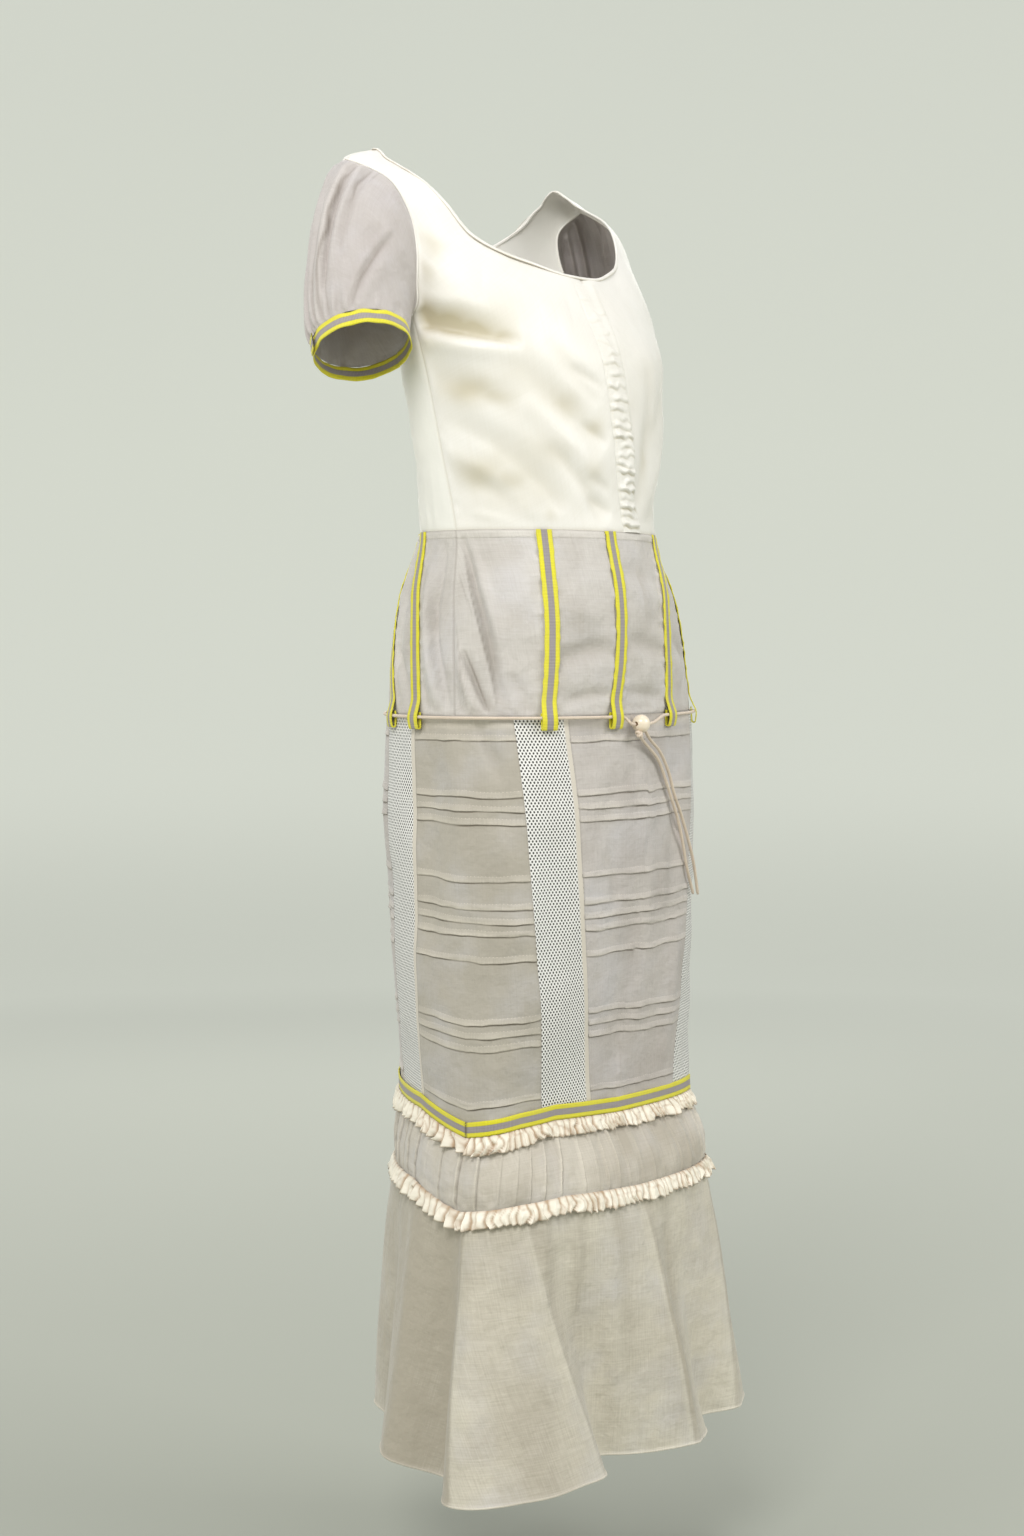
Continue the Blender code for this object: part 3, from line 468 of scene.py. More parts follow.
def makeSlubs(stretch=30.0):  # long uneven threads, both ways
    group, given, made = makeGroup("slubThreads", {"Vector": None, "Scale": 900.0}, ["Mask"])
    first, second = (addNode(group, "ShaderNodeTexNoise", {
        "Vector": addNode(group, "ShaderNodeMapping", {"Vector": given["Vector"], "Scale": scale}),
        "Scale": given["Scale"], "Detail": 3.0, "Roughness": 0.6})
        for scale in ((1 / stretch, 1.0, 1.0), (1.0, 1 / stretch, 1.0)))
    feed(made["Mask"], ramp((first + second) * 0.5, 0.38, 0.66))
    return group


def makeDrift():  # slow changes of shade, as cloth has from wear and handling
    group, given, made = makeGroup("shadeDrift", {"Scale": 9.0, "Low": 0.35, "High": 0.65}, ["Mask"])
    noise = addNode(group, "ShaderNodeTexNoise", {
        "Vector": addNode(group, "ShaderNodeTexCoord", out="Object"), "Scale": given["Scale"], "Detail": 3.0,
        "Roughness": 0.5})
    feed(made["Mask"], ramp(noise, given["Low"], given["High"]))
    return group


weaveGroup, slubGroup, driftGroup = makeWeave(), makeSlubs(), makeDrift()


def place(tree, group, inputs, out="Mask"):
    return addNode(tree, "ShaderNodeGroup", inputs, out, node_tree=group)


def newFinish(name, **sockets):
    made = bpy.data.materials.new(name)
    made.use_nodes = True
    tree = made.node_tree
    for key, value in sockets.items():
        tree.nodes["Principled BSDF"].inputs[key.replace("_", " ")].default_value = value
    return made, tree, addNode(tree, "ShaderNodeUVMap", uv_map="cloth")


def completeFinish(made, colour, height, distance, strength, roughness=None):
    inputs = made.node_tree.nodes["Principled BSDF"].inputs
    feed(inputs["Base Color"], colour)
    feed(inputs["Normal"], addNode(made.node_tree, "ShaderNodeBump", {
        "Height": height, "Distance": distance, "Strength": strength}))
    if roughness:
        feed(inputs["Roughness"], roughness)
    return made


def markOf(tree, name):
    return addNode(tree, "ShaderNodeAttribute", out="Fac", attribute_name=name)


# warm and backDeep: darker colours for random tone and threads, and for the painted shade in folds and sheen
# patches; edge: for the painted seam shadows
satinLook = {"pale": (0.83, 0.80, 0.752), "warm": (0.54, 0.48, 0.345), "edge": (0.44, 0.35, 0.235),
             "back": (0.82, 0.80, 0.745), "backDeep": (0.68, 0.65, 0.57), "backRough": (0.55, 0.68),
             "rough": (0.30, 0.42), "threads": 3200.0, "backThreads": 2200.0}
voileLook = {"threads": 1700.0, "unevenness": 0.8, "slubScale": 800.0, "edge": (0.17, 0.135, 0.105),
             "cool": (0.60, 0.585, 0.62), "tinting": 0.55, "crumpleScale": 50.0, "crumple": 30.0}
voileShades = {  # plain cloth, its paler doubled part (also the painted highlight on crests), its darker threads (also the painted shade in folds)
    "sleeveVoile": ((0.535, 0.495, 0.475), (0.64, 0.595, 0.56), (0.42, 0.375, 0.35)),
    "yokeVoile": ((0.655, 0.62, 0.585), (0.75, 0.71, 0.655), (0.475, 0.435, 0.395)),
    "sidePanelVoile": ((0.475, 0.435, 0.375), (0.70, 0.64, 0.54), (0.41, 0.37, 0.31)),
    "frontPanelVoile": ((0.595, 0.55, 0.52), (0.71, 0.65, 0.575), (0.42, 0.375, 0.345)),
    "tierVoile": ((0.67, 0.615, 0.535), (0.92, 0.85, 0.73), (0.46, 0.41, 0.34)),
    "flounceVoile": ((0.73, 0.68, 0.575), (0.80, 0.75, 0.64), (0.43, 0.385, 0.31)),
}


def satinFinish(name, pale, warm, rough, threads):
    made, tree, uv = newFinish(name, Sheen_Weight=0.12, Sheen_Roughness=0.4, Specular_IOR_Level=0.5)
    drift = place(tree, driftGroup, {"Scale": 7.0, "Low": 0.42, "High": 0.70})
    crumple = place(tree, driftGroup, {"Scale": 48.0, "Low": 0.2, "High": 0.8})
    slubs = place(tree, slubGroup, {"Vector": uv, "Scale": 500.0})
    weave = place(tree, weaveGroup, {"Vector": uv, "Threads Across": threads, "Threads Down": threads * 0.8,
                                     "Unevenness": 0.4}, "Height")
    # the fold mark paints shade into crease troughs, plus the painted sheen patches; drift adds random tone
    colour = mixColour((drift * 0.22 + markOf(tree, "fold")).clamped(), pale, warm)
    colour = mixColour(slubs * 0.10, colour, warm)
    # edge: painted shadow along the seams and under the neck binding's lower edge
    colour = mixColour(markOf(tree, "edge"), colour, satinLook["edge"])
    return completeFinish(made, colour, weave + slubs * 0.8 + crumple * 9.0, 0.00005, 0.6,
                          ramp(drift, first=rough[0], last=rough[1]))


def voileFinish(name, plain, doubled, deep, look):
    made, tree, uv = newFinish(name, Roughness=0.72, Sheen_Weight=0.25, Sheen_Roughness=0.45,
                               Specular_IOR_Level=0.35)
    drift = place(tree, driftGroup, {"Scale": 10.0, "Low": 0.36, "High": 0.66})
    cool = place(tree, driftGroup, {"Scale": 19.0, "Low": 0.45, "High": 0.70})
    crumple = place(tree, driftGroup, {"Scale": look["crumpleScale"], "Low": 0.2, "High": 0.8})
    slubs = place(tree, slubGroup, {"Vector": uv, "Scale": look["slubScale"]})
    weave = place(tree, weaveGroup, {"Vector": uv, "Threads Across": look["threads"],
                                     "Threads Down": look["threads"] * 0.9, "Unevenness": look["unevenness"]},
                  "Height")
    threads = Wire(weave.socket.node.outputs["Mask"])
    colour = mixColour(cool * look["tinting"], plain, look["cool"])
    colour = mixColour(markOf(tree, "doubled"), colour, doubled)
    # fold: painted shade in troughs and beside folds, and random darker patches
    colour = mixColour((slubs * 0.42 + drift * 0.36 + markOf(tree, "fold")).clamped(), colour, deep)
    colour = mixColour((1.0 - threads) * 0.30, colour, deep)
    # edge: dark seam lines, and painted shadow lines in the sharpest folds, under the tucks and beside the
    # tier's pleats
    colour = mixColour(markOf(tree, "edge"), colour, look["edge"])
    return completeFinish(made, colour, weave + slubs + crumple * look["crumple"], 0.00010, 0.7)


meshLook = {"across": 0.0036, "down": 0.0027, "holeAcross": 0.28, "holeDown": 0.46,
            "net": (0.88, 0.865, 0.84), "netShade": (0.74, 0.725, 0.70), "hole": (0.05, 0.045, 0.04),
            "seam": (0.60, 0.53, 0.44)}


def netFinish(name, look):  # staggered long holes, not cut: painted dark for the shade inside the dress, and sunk
    made, tree, uv = newFinish(name, Roughness=0.6, Sheen_Weight=0.15, Specular_IOR_Level=0.4)
    across, down = split(uv)[:2]
    row = down / look["down"]
    column = across / look["across"] + maths("MODULO", maths("FLOOR", row), 2.0) * 0.5
    x = (maths("FRACT", column) - 0.5) / look["holeAcross"]
    y = (maths("FRACT", row) - 0.5) / look["holeDown"]
    size = maths("SQRT", abs(x) ** 2.0 + abs(y) ** 2.0)
    hole = ramp(size, 0.75, 1.02, 1.0, 0.0, interpolation_type="SMOOTHSTEP")
    hole = hole * (1.0 - markOf(tree, "doubled")).clamped()
    slubs = place(tree, slubGroup, {"Vector": uv, "Scale": 700.0})
    drift = place(tree, driftGroup, {"Scale": 14.0})
    colour = mixColour((slubs * 0.4 + drift * 0.3).clamped(), look["net"], look["netShade"])
    colour = mixColour(markOf(tree, "fold"), colour, look["seam"])
    return completeFinish(made, mixColour(hole, colour, look["hole"]), slubs * 0.2 - hole, 0.0004, 0.8)


tapeLook = {"yellow": (0.86, 0.80, 0.03), "yellowDeep": (0.62, 0.55, 0.015), "grey": (0.22, 0.19, 0.205),
            "greyPale": (0.42, 0.385, 0.39), "worn": (0.50, 0.44, 0.30), "groove": (0.18, 0.16, 0.06),
            "edge": (0.06, 0.05, 0.04), "middle": 0.0029, "ribs": 1500.0}


def tapeFinish(name, look):  # ribbed tape, a grey stripe between two yellow ones
    made, tree, uv = newFinish(name, Roughness=0.6, Sheen_Weight=0.15, Specular_IOR_Level=0.35)
    across, down = split(uv)[:2]
    rib = maths("SINE", down * (look["ribs"] * math.pi)) * 0.5 + 0.5
    slubs = place(tree, slubGroup, {"Vector": uv, "Scale": 800.0})
    off = abs(across) + (slubs - 0.5) * 0.0003
    stripe = ramp(off, look["middle"] - 0.00015, look["middle"] + 0.00015)
    groove = ramp(abs(off - look["middle"]), 0.0, 0.0005)
    mottle = ((rib + slubs) * 0.4).clamped()
    colour = mixColour(stripe, mixColour(mottle, look["grey"], look["greyPale"]),
                       mixColour(mottle, look["yellowDeep"], look["yellow"]))
    colour = mixColour(place(tree, driftGroup, {"Scale": 40.0}) * 0.12, colour, look["worn"])
    # a painted shadow in the groove at the stripes' edges
    colour = mixColour((1.0 - groove) * 0.35, colour, look["groove"])
    colour = mixColour(markOf(tree, "edge"), colour, look["edge"])
    return completeFinish(made, colour, rib * 0.7 + groove * 0.8, 0.00022, 0.8)


cordLook = {"pale": (0.86, 0.75, 0.62), "deep": (0.60, 0.46, 0.35), "strands": 8.0, "pitch": 620.0}


def cordFinish(name, look):  # braided: two sets of strands winding opposite ways, painted darker between the strands for the shade in the grooves
    made, tree, uv = newFinish(name, Roughness=0.62, Sheen_Weight=0.2)
    across, down = split(uv)[:2]
    turn, run = across * (look["strands"] * math.pi), down * (look["pitch"] * math.pi)
    braid = maths("MAXIMUM", abs(maths("SINE", turn + run)) ** 2.0, abs(maths("SINE", turn - run)) ** 2.0)
    drift = place(tree, driftGroup, {"Scale": 60.0})
    shade = ((1.0 - braid * 0.8).clamped() + drift * 0.15).clamped()
    return completeFinish(made, mixColour(shade, look["pale"], look["deep"]), braid, 0.0003, 0.8)


beadLook = {"cream": (0.86, 0.75, 0.60), "deep": (0.66, 0.50, 0.34)}


def beadFinish(name, look):
    made, tree, uv = newFinish(name, Coat_Weight=0.5, Coat_Roughness=0.12)
    drift = place(tree, driftGroup, {"Scale": 160.0, "Low": 0.4, "High": 0.75})
    shade = (drift * 0.25 + markOf(tree, "fold")).clamped()
    return completeFinish(made, mixColour(shade, look["cream"], look["deep"]), drift, 0.00008, 0.5,
                          ramp(drift, first=0.22, last=0.42))


def threadFinish(name, pale, deep):
    made, tree, uv = newFinish(name, Roughness=0.5, Sheen_Weight=0.2)
    slubs = place(tree, slubGroup, {"Vector": uv, "Scale": 2500.0})
    return completeFinish(made, mixColour(slubs, pale, deep), slubs, 0.00004, 0.5)


ivorySatin = satinFinish("ivorySatin", satinLook["pale"], satinLook["warm"], satinLook["rough"],
                         satinLook["threads"])
backSatin = satinFinish("backSatin", satinLook["back"], satinLook["backDeep"], satinLook["backRough"],
                        satinLook["backThreads"])
ruffleSatin = satinFinish("ruffleSatin", (0.92, 0.86, 0.74), (0.46, 0.31, 0.19), (0.28, 0.40), 2800.0)
voiles = {key: voileFinish(key, *shades, voileLook) for key, shades in voileShades.items()}
whiteNet = netFinish("whiteNet", meshLook)
stripedTape = tapeFinish("stripedTape", tapeLook)
braidedCord = cordFinish("braidedCord", cordLook)
creamBead = beadFinish("creamBead", beadLook)
yellowThread = threadFinish("yellowThread", (0.80, 0.72, 0.05), (0.55, 0.48, 0.03))
taupeThread = threadFinish("taupeThread", (0.80, 0.73, 0.62), (0.60, 0.53, 0.44))
ivoryThread = threadFinish("ivoryThread", (0.86, 0.80, 0.68), (0.66, 0.58, 0.44))
print("finishes made")

# Cords: the drawstring round the hips, its two free ends, the bead and the knot

cordLine = {"radius": 0.0015, "tip": [0.0015, 0.0014, 0.0011], "drop": 0.0015, "out": 0.0053,
            "beadDrop": 0.0085, "beadAround": -0.100, "beadOut": 0.0108, "beadRadius": 0.0088,
            "beadBore": 0.0024, "beadReach": 0.0093 / 0.213}
knotShape = {"aside": (-0.0072, -0.0033, -0.0094), "ring": 0.0021, "swing": 0.0009, "deep": 0.0016,
             "radius": 0.0014}
# Each free end: z, around and distance out along its way
cordEnds = {
    "cord_end_upper": [
        (-.5549, -.069, .0108), (-.5605, -.043, .0102), (-.577, .065, .009), (-.598, .15, .008),
        (-.619, .215, .0068), (-.64, .3, .0064), (-.657, .36, .0068), (-.687, .46, .008), (-.723, .56, .009)],
    "cord_end_lower": [
        (-.5601, -.118, .0123), (-.566, -.065, .0088), (-.587, .082, .0058), (-.605, .142, .0055),
        (-.625, .21, .0052), (-.645, .28, .0052), (-.668, .345, .0052), (-.689, .4, .0052),
        (-.722, .53, .0056)]}
# Centre lines of the yoke tapes, each row: name, around at the waist, half way and at the loop
yokeTapes = [
    ("yoke_tape_front_right_outer", -.56, -.56, -.59), ("yoke_tape_front_right", -.17, -.19, -.235),
    ("yoke_tape_front_left", .31, .19, .195), ("yoke_tape_front_left_outer", .66, .6, .6),
    ("yoke_tape_side_left", 1.28, 1.22, 1.19), ("yoke_tape_back_left_outer", 1.55, 1.5, 1.38),
    ("yoke_tape_back_left", 1.86, 1.84, 1.8), ("yoke_tape_back_right", 2.14, 2.16, 2.2),
    ("yoke_tape_back_right_outer", 2.45, 2.5, 2.62), ("yoke_tape_side_right", 2.72, 2.78, 2.81)]


def drawstringRoute(line):
    first, last = line["beadAround"] + line["beadReach"], line["beadAround"] + 4 - line["beadReach"]
    nearLeft, nearRight = yokeTapes[2][3] - 0.05, yokeTapes[1][3] + 4 + 0.045
    stops = [first, first + 0.02, nearLeft, nearLeft + 0.012, nearLeft + 0.1,
             nearRight - 0.1, nearRight - 0.012, nearRight, last - 0.02, last]
    held = [False, False] + [True] * 6 + [False, False]
    heights = [(at, yokeHemZ - line["drop" if looped else "beadDrop"]) for at, looped in zip(stops, held)]
    outs = [(at, line["out" if looped else "beadOut"]) for at, looped in zip(stops, held)]
    around = np.linspace(first, last, 420)
    return offForm(smooth(heights, around), around, smooth(outs, around))


def cordEndRoute(rows):
    z, around, out = np.array(rows).T
    route = offForm(z, around, out)
    run = runAlong(route)
    return smoothPath(run, route, np.linspace(0, run[-1], 90))


def beadMesh(name, centre, axis, radius, bore):
    axis = unit(axis)
    side = unit(np.cross(axis, [0, 0, 1.0]))
    over = np.cross(side, axis)
    angle = np.linspace(math.asin(bore / radius), math.pi - math.asin(bore / radius), 40)
    profile = [(radius * math.cos(a) * 0.95, radius * math.sin(a), 0.0) for a in angle]
    end = profile[0][0]
    # the third value darkens the lip and the bore: painted shade inside the hole
    lip = [(end - 0.0002, bore * 0.82, 0.9), (end - 0.0016, bore * 0.70, 1.0)]
    profile = lip[::-1] + profile + [(-x, r, f) for x, r, f in lip] + [(0.0, bore * 0.6, 1.0)]
    along, wide, dark = np.array(profile).T
    turn = np.linspace(0, 2 * np.pi, 49)
    points = (centre + along[:, None, None] * axis + (np.cos(turn)[None, :, None] * side
              + np.sin(turn)[None, :, None] * over) * wide[:, None, None])
    return clothGrid(name, points, creamBead, ["bead"], marks={"fold": dark[:, None]}, flip=True)


def knotRoute(centre, shape):  # twice round, and three times through
    turn = np.linspace(0, 2 * np.pi, 121)[:-1]
    ring = shape["ring"] + shape["swing"] * np.cos(3 * turn)
    path = centre + shape["aside"] + np.stack([
        ring * np.cos(2 * turn), ring * np.sin(2 * turn) * 0.8,
        shape["deep"] * np.sin(3 * turn) + ring * np.sin(2 * turn) * 0.4], -1)
    return np.concatenate([path, path[:2]])


drawstringPath = drawstringRoute(cordLine)
beadCentre = offForm(yokeHemZ - cordLine["beadDrop"], cordLine["beadAround"], cordLine["beadOut"]).reshape(3)
beadAxis = drawstringPath[0] - drawstringPath[-1]
bead = beadMesh("toggle_bead", beadCentre, beadAxis, cordLine["beadRadius"], cordLine["beadBore"])
knotPath = knotRoute(beadCentre, knotShape)
knot = addTube("toggle_knot", knotPath, knotShape["radius"], braidedCord, ["cord_knot"])
drawstring = addTube("hip_cord", drawstringPath, cordLine["radius"], braidedCord, ["drawstring"])
for endName, endRows in cordEnds.items():
    endPath = cordEndRoute(endRows)
    taper = np.full(len(endPath), cordLine["radius"])
    taper[-3:] = cordLine["tip"]
    cordEnd = addTube(endName, endPath, taper, braidedCord, [endName])
print("cords made")

# Bodice: two fronts, back, placket, neck binding. Edges are rows of around and z, the armhole's counted
# inward from the side seam, the centre's the other way round

neckRight = [
    (-.065, -.128), (-.18, -.127), (-.33, -.12), (-.47, -.111), (-.57, -.096), (-.62, -.068), (-.67, -.044),
    (-.7, -.032), (-.76, -.021), (-.86, -.013), (-1, -.007)]
neckLeft = [
    (-.065, -.128), (.06, -.126), (.19, -.117), (.3, -.107), (.39, -.094), (.51, -.066), (.63, -.043),
    (.7, -.032), (.76, -.021), (.86, -.013), (1, -.007)]
neckBack = [
    (2, -.079), (1.82, -.077), (1.64, -.07), (1.48, -.054), (1.36, -.038), (1.28, -.024), (1.17, -.014),
    (1, -.007)]
armhole = [
    (0, -.17), (.04, -.163), (.085, -.143), (.165, -.11), (.2, -.078), (.185, -.05), (.1, -.033), (0, -.023)]
centreFront = [
    (-.368, .03), (-.33, -.012), (-.27, -.06), (-.213, -.09), (-.128, -.065)]

bodiceShape = {
    "columns": 90, "rows": 140, "out": 0.0012, "shoulder": 0.1, "seamDark": 0.22, "creaseStrength": 1.7,
    # the drag fold from the armhole, then long soft ones to the waist and the placket
    "rightCreases": [
        (-1.16, -.168, -.54, -.198, -.003, .014, -.0054, .7),
        (-1.12, -.184, -.56, -.208, -.003, .008, .0022, -.3), (-1.04, -.158, -.62, -.168, .003, .01, .0012),
        (-1.02, -.222, -.6, -.262, .006, .014, -.0015), (-.98, -.262, -.44, -.352, .01, .012, -.0014, .2),
        (-1.02, -.29, -.55, -.366, .008, .009, .0011), (-.7, -.205, -.22, -.3, .006, .016, -.0017),
        (-.6, -.25, -.22, -.335, .006, .012, .0013), (-.5, -.29, -.2, -.362, .004, .01, -.0016, .1),
        (-.44, -.19, -.2, -.25, -.004, .01, -.0013), (-.34, -.218, -.17, -.236, .001, .005, -.0009),
        (-.32, -.27, -.17, -.287, .001, .005, -.001), (-.3, -.318, -.15, -.33, .001, .005, -.0011),
        (-.3, -.34, -.14, -.351, .001, .005, -.0011), (-.95, -.325, -.62, -.34, .004, .011, -.0013),
        (-.62, -.14, -.26, -.172, .004, .016, .0014), (-.98, -.112, -.8, -.06, .002, .008, -.001),
        (-.9, -.352, -.66, -.367, 0, .005, .0008)],
    # each patch of painted sheen, a warmer, darker reflection in the satin: around, z, half width and half
    # height in metres, how strong
    "rightSheenPatches": [
        (-.95, -.173, .017, .016, .85), (-.84, -.179, .017, .0115, .8), (-.73, -.185, .014, .0075, .6),
        (-.63, -.191, .013, .0045, .35), (-.82, -.241, .024, .0125, .72), (-.71, -.247, .017, .008, .45),
        (-.84, -.314, .024, .0145, .66), (-.71, -.322, .018, .011, .42), (-.24, -.271, .01, .0085, .45),
        (-.37, -.252, .016, .012, .34), (-.27, -.311, .012, .014, .34), (-.77, -.107, .01, .013, .5),
        (-.85, -.13, .008, .013, .38), (-.52, -.357, .007, .01, .34), (-.5, -.295, .024, .015, .2),
        (-.62, -.338, .05, .018, .16)],
    "leftSheenPatches": [
        (.9, -.178, .015, .012, .6), (.72, -.19, .014, .007, .4), (.7, -.25, .018, .009, .4),
        (.74, -.32, .017, .01, .4), (.14, -.3, .008, .016, .3), (.8, -.11, .009, .012, .4)],
    "leftCreases": [
        (1.12, -.184, .58, -.206, .003, .013, -.0046, .6),
        (1.04, -.198, .62, -.214, .003, .008, .0018, -.2), (.6, -.205, .16, -.29, -.006, .015, -.0014),
        (.2, -.2, .08, -.345, .005, .012, -.0013), (.95, -.258, .4, -.35, -.008, .012, -.0014),
        (.6, -.25, .22, -.335, -.004, .012, .0012), (.45, -.325, .14, -.362, .002, .009, -.0012),
        (.96, -.11, .82, -.06, .002, .008, -.0009)],
    "backCreases": [
        (1.04, -.19, 1.4, -.21, .004, .01, -.0028, .3), (2.96, -.19, 2.58, -.214, -.004, .01, -.0028, .3),
        (1.3, -.3, 1.75, -.33, .005, .012, -.0018), (2.72, -.296, 2.22, -.322, -.005, .012, -.0018),
        (1.55, -.12, 2.45, -.126, -.006, .016, .0012), (1.7, -.235, 2.34, -.245, .004, .014, -.0014)],
    # each small gather into the waist seam: around, how far it rises
    "backGathers": [
        (1.22, .9), (1.34, 1.2), (1.43, .8), (1.58, 1.3), (1.69, .7), (1.81, 1.1), (1.92, 1.3), (2.03, .9),
        (2.14, 1.2), (2.27, 1), (2.36, .7), (2.49, 1.3), (2.61, 1), (2.7, 1.2), (2.79, .9), (2.86, 1.1)],
}


def bodiceCloth(around, z, rows, seed, sheenPatches=()):
    x = around * quarterLength
    folds = creases(around, z, rows)
    paintedSheen = np.zeros(np.shape(folds))
    for at, height, wide, tall, strong in sheenPatches:
        dx = (around - at) * quarterLength + 0.003 * softNoise(z, 3, 0.012, seed + 3)
        dz = z - height + 0.002 * softNoise(x, 5, 0.014, seed + 4)
        paintedSheen = np.maximum(paintedSheen, strong * np.exp(-(dx / wide) ** 2 - (dz / tall) ** 2))
    uneven = unevenness(x, z, (0.042, 0.0014, seed), (0.017, 0.0004, seed + 1))
    height = bodiceShape["creaseStrength"] * folds + uneven
    # the second value is painted shade: darker in the crease troughs, plus the painted sheen patches
    return height, limit(limit(-folds / 0.0048) * 0.55 + paintedSheen)


def spread(across, down):  # places across and places down, as two full grids
    return np.broadcast_arrays(across[None, :], down[:, None])


def edgeFade(shape, wide):  # 0 at the edges of a grid, 1 a few rows inside
    rows, columns = (np.minimum(np.arange(n), np.arange(n)[::-1]) / wide for n in shape)
    fade = limit(np.minimum(rows[:, None], columns[None, :]))
    return fade * fade * (3 - 2 * fade)


def borderMark(shape, amount):  # the outermost rows: a thin shadow where two pieces are sewn together
    return amount * (edgeFade(shape, 1) < 0.5)


def addCloth(name, z, around, out, finish, slot, dark, fold, **marks):  # its edges sink into the seams
    points = offForm(z, around, out - borderMark(z.shape, 0.0007))
    edge = np.maximum(marks.pop("line", 0), borderMark(z.shape, dark))
    return clothGrid(name, points, finish, [name], marks={"fold": fold, "edge": edge, **marks})


def bodiceFront(name, side, neck, rows, sheenPatches, seed):
    across = np.linspace(0, 1, bodiceShape["columns"])
    u, v = spread(across if side < 0 else across[::-1], np.linspace(1, 0, bodiceShape["rows"]))
    low, high, below = limit(v * 2), limit(v * 2 - 1), v <= 0.5
    holeIn, holeZ = edgeLine(armhole, high)
    neckAround, neckZ = edgeLine(neck, high)
    outerZ = np.where(below, waistZ + (armhole[0][1] - waistZ) * low, holeZ)
    outer = np.where(below, side, side * (1 - holeIn))
    centreZ = np.where(below, waistZ + (neck[0][1] - waistZ) * low, neckZ)
    centre = np.where(below, smooth(centreFront, centreZ), neckAround)
    around = outer + (centre - outer) * u
    z = outerZ + (centreZ - outerZ) * u
    height, fold = bodiceCloth(around, z, rows, seed, sheenPatches)
    fade = edgeFade(u.shape, 5)
    atSeam = (1 - limit(u / 0.05)) * limit(u / 0.004) * limit((waistZ + 0.17 - z) / 0.05)
    height = height + atSeam * softNoise(z, 7, 0.0075, seed + 8) * 0.0010 / np.maximum(fade, 0.4)
    piece = addCloth(name, z, around, bodiceShape["out"] + height * fade, ivorySatin, "satin",
                     bodiceShape["seamDark"], fold * fade)


def bodiceBack(shape):
    u, v = spread(np.linspace(0, 1, 2 * shape["columns"] - 1), np.linspace(1, 0, shape["rows"]))
    holeIn, holeZ = edgeLine(armhole, limit(v * 2 - 1))
    sideIn = np.where(v <= 0.5, 0, holeIn)
    sideZ = np.where(v <= 0.5, waistZ + (armhole[0][1] - waistZ) * limit(v * 2), holeZ)
    shoulder, half = shape["shoulder"], np.abs(2 * u - 1)
    seamShare = limit((1 - half) / (2 * shoulder))
    neckAround, neckZ = edgeLine(neckBack[::-1], limit((1 - half - 2 * shoulder) / (1 - 2 * shoulder)))
    onSeam = half > 1 - 2 * shoulder + 1e-6
    topIn = np.where(onSeam, 0, np.maximum(neckAround - 1, 0))
    topZ = np.where(onSeam, armhole[-1][1] + (neckBack[-1][1] - armhole[-1][1]) * seamShare, neckZ)
    leftIn = sideIn * (1 - u) + (2 - sideIn) * u
    around = 1 + leftIn + v * (np.where(u <= 0.5, topIn, 2 - topIn) - 2 * u)
    z = sideZ + v * (topZ - armhole[-1][1])
    height, fold = bodiceCloth(around, z, shape["backCreases"], 31)
    near = limit((z - waistZ) / 0.07)
    for at, rise in shape["backGathers"]:
        off = (around - at - 0.10 * near * np.sin(at * 9)) * quarterLength
        height = height + rise * 0.0013 * bell(off / 0.0042) * (1 - near) ** 1.6
    fade = edgeFade(u.shape, 5)
    piece = addCloth("bodice_back", z, around, shape["out"] + height * fade, backSatin, "satin",
                     shape["seamDark"], fold * fade)


bodiceFront("bodice_front_right", -1, neckRight, bodiceShape["rightCreases"], bodiceShape["rightSheenPatches"], 11)
bodiceFront("bodice_front_left", 1, neckLeft, bodiceShape["leftCreases"], bodiceShape["leftSheenPatches"], 21)
bodiceBack(bodiceShape)

placketShape = {
    "top": -0.1345, "halfWidth": 0.0155, "columns": 25, "rows": 330,
    # each ruche: z, how far the fold stands, slant, reach from the wearer's right (0) to the left (1)
    "ruches": [
        (-.152, .25, .001, 0, .4), (-.163, .3, -.001, .6, 1), (-.172, .35, .001, 0, .5),
        (-.183, .4, 0, .5, 1), (-.193, .45, -.001, 0, .6), (-.203, .5, .001, .4, 1), (-.212, .55, 0, 0, .7),
        (-.223, .5, -.001, .3, 1), (-.234, .6, .001, 0, .8), (-.246, .7, 0, .1, 1),
        (-.2555, .9, .001, 0, .7), (-.264, .6, -.001, .4, 1), (-.272, .8, 0, 0, .9),
        (-.2805, 1.1, .001, 0, 1), (-.2895, .7, -.001, .4, 1), (-.298, 1.2, .001, 0, 1),
        (-.307, .8, 0, 0, .7), (-.314, 1.1, -.001, .1, 1), (-.3225, .8, .001, .3, 1), (-.33, 1.1, 0, 0, 1),
        (-.338, .8, .001, .2, 1), (-.3465, 1.3, 0, 0, 1), (-.3545, .8, -.001, 0, .8),
        (-.3625, 1.2, .001, 0, 1)],
}


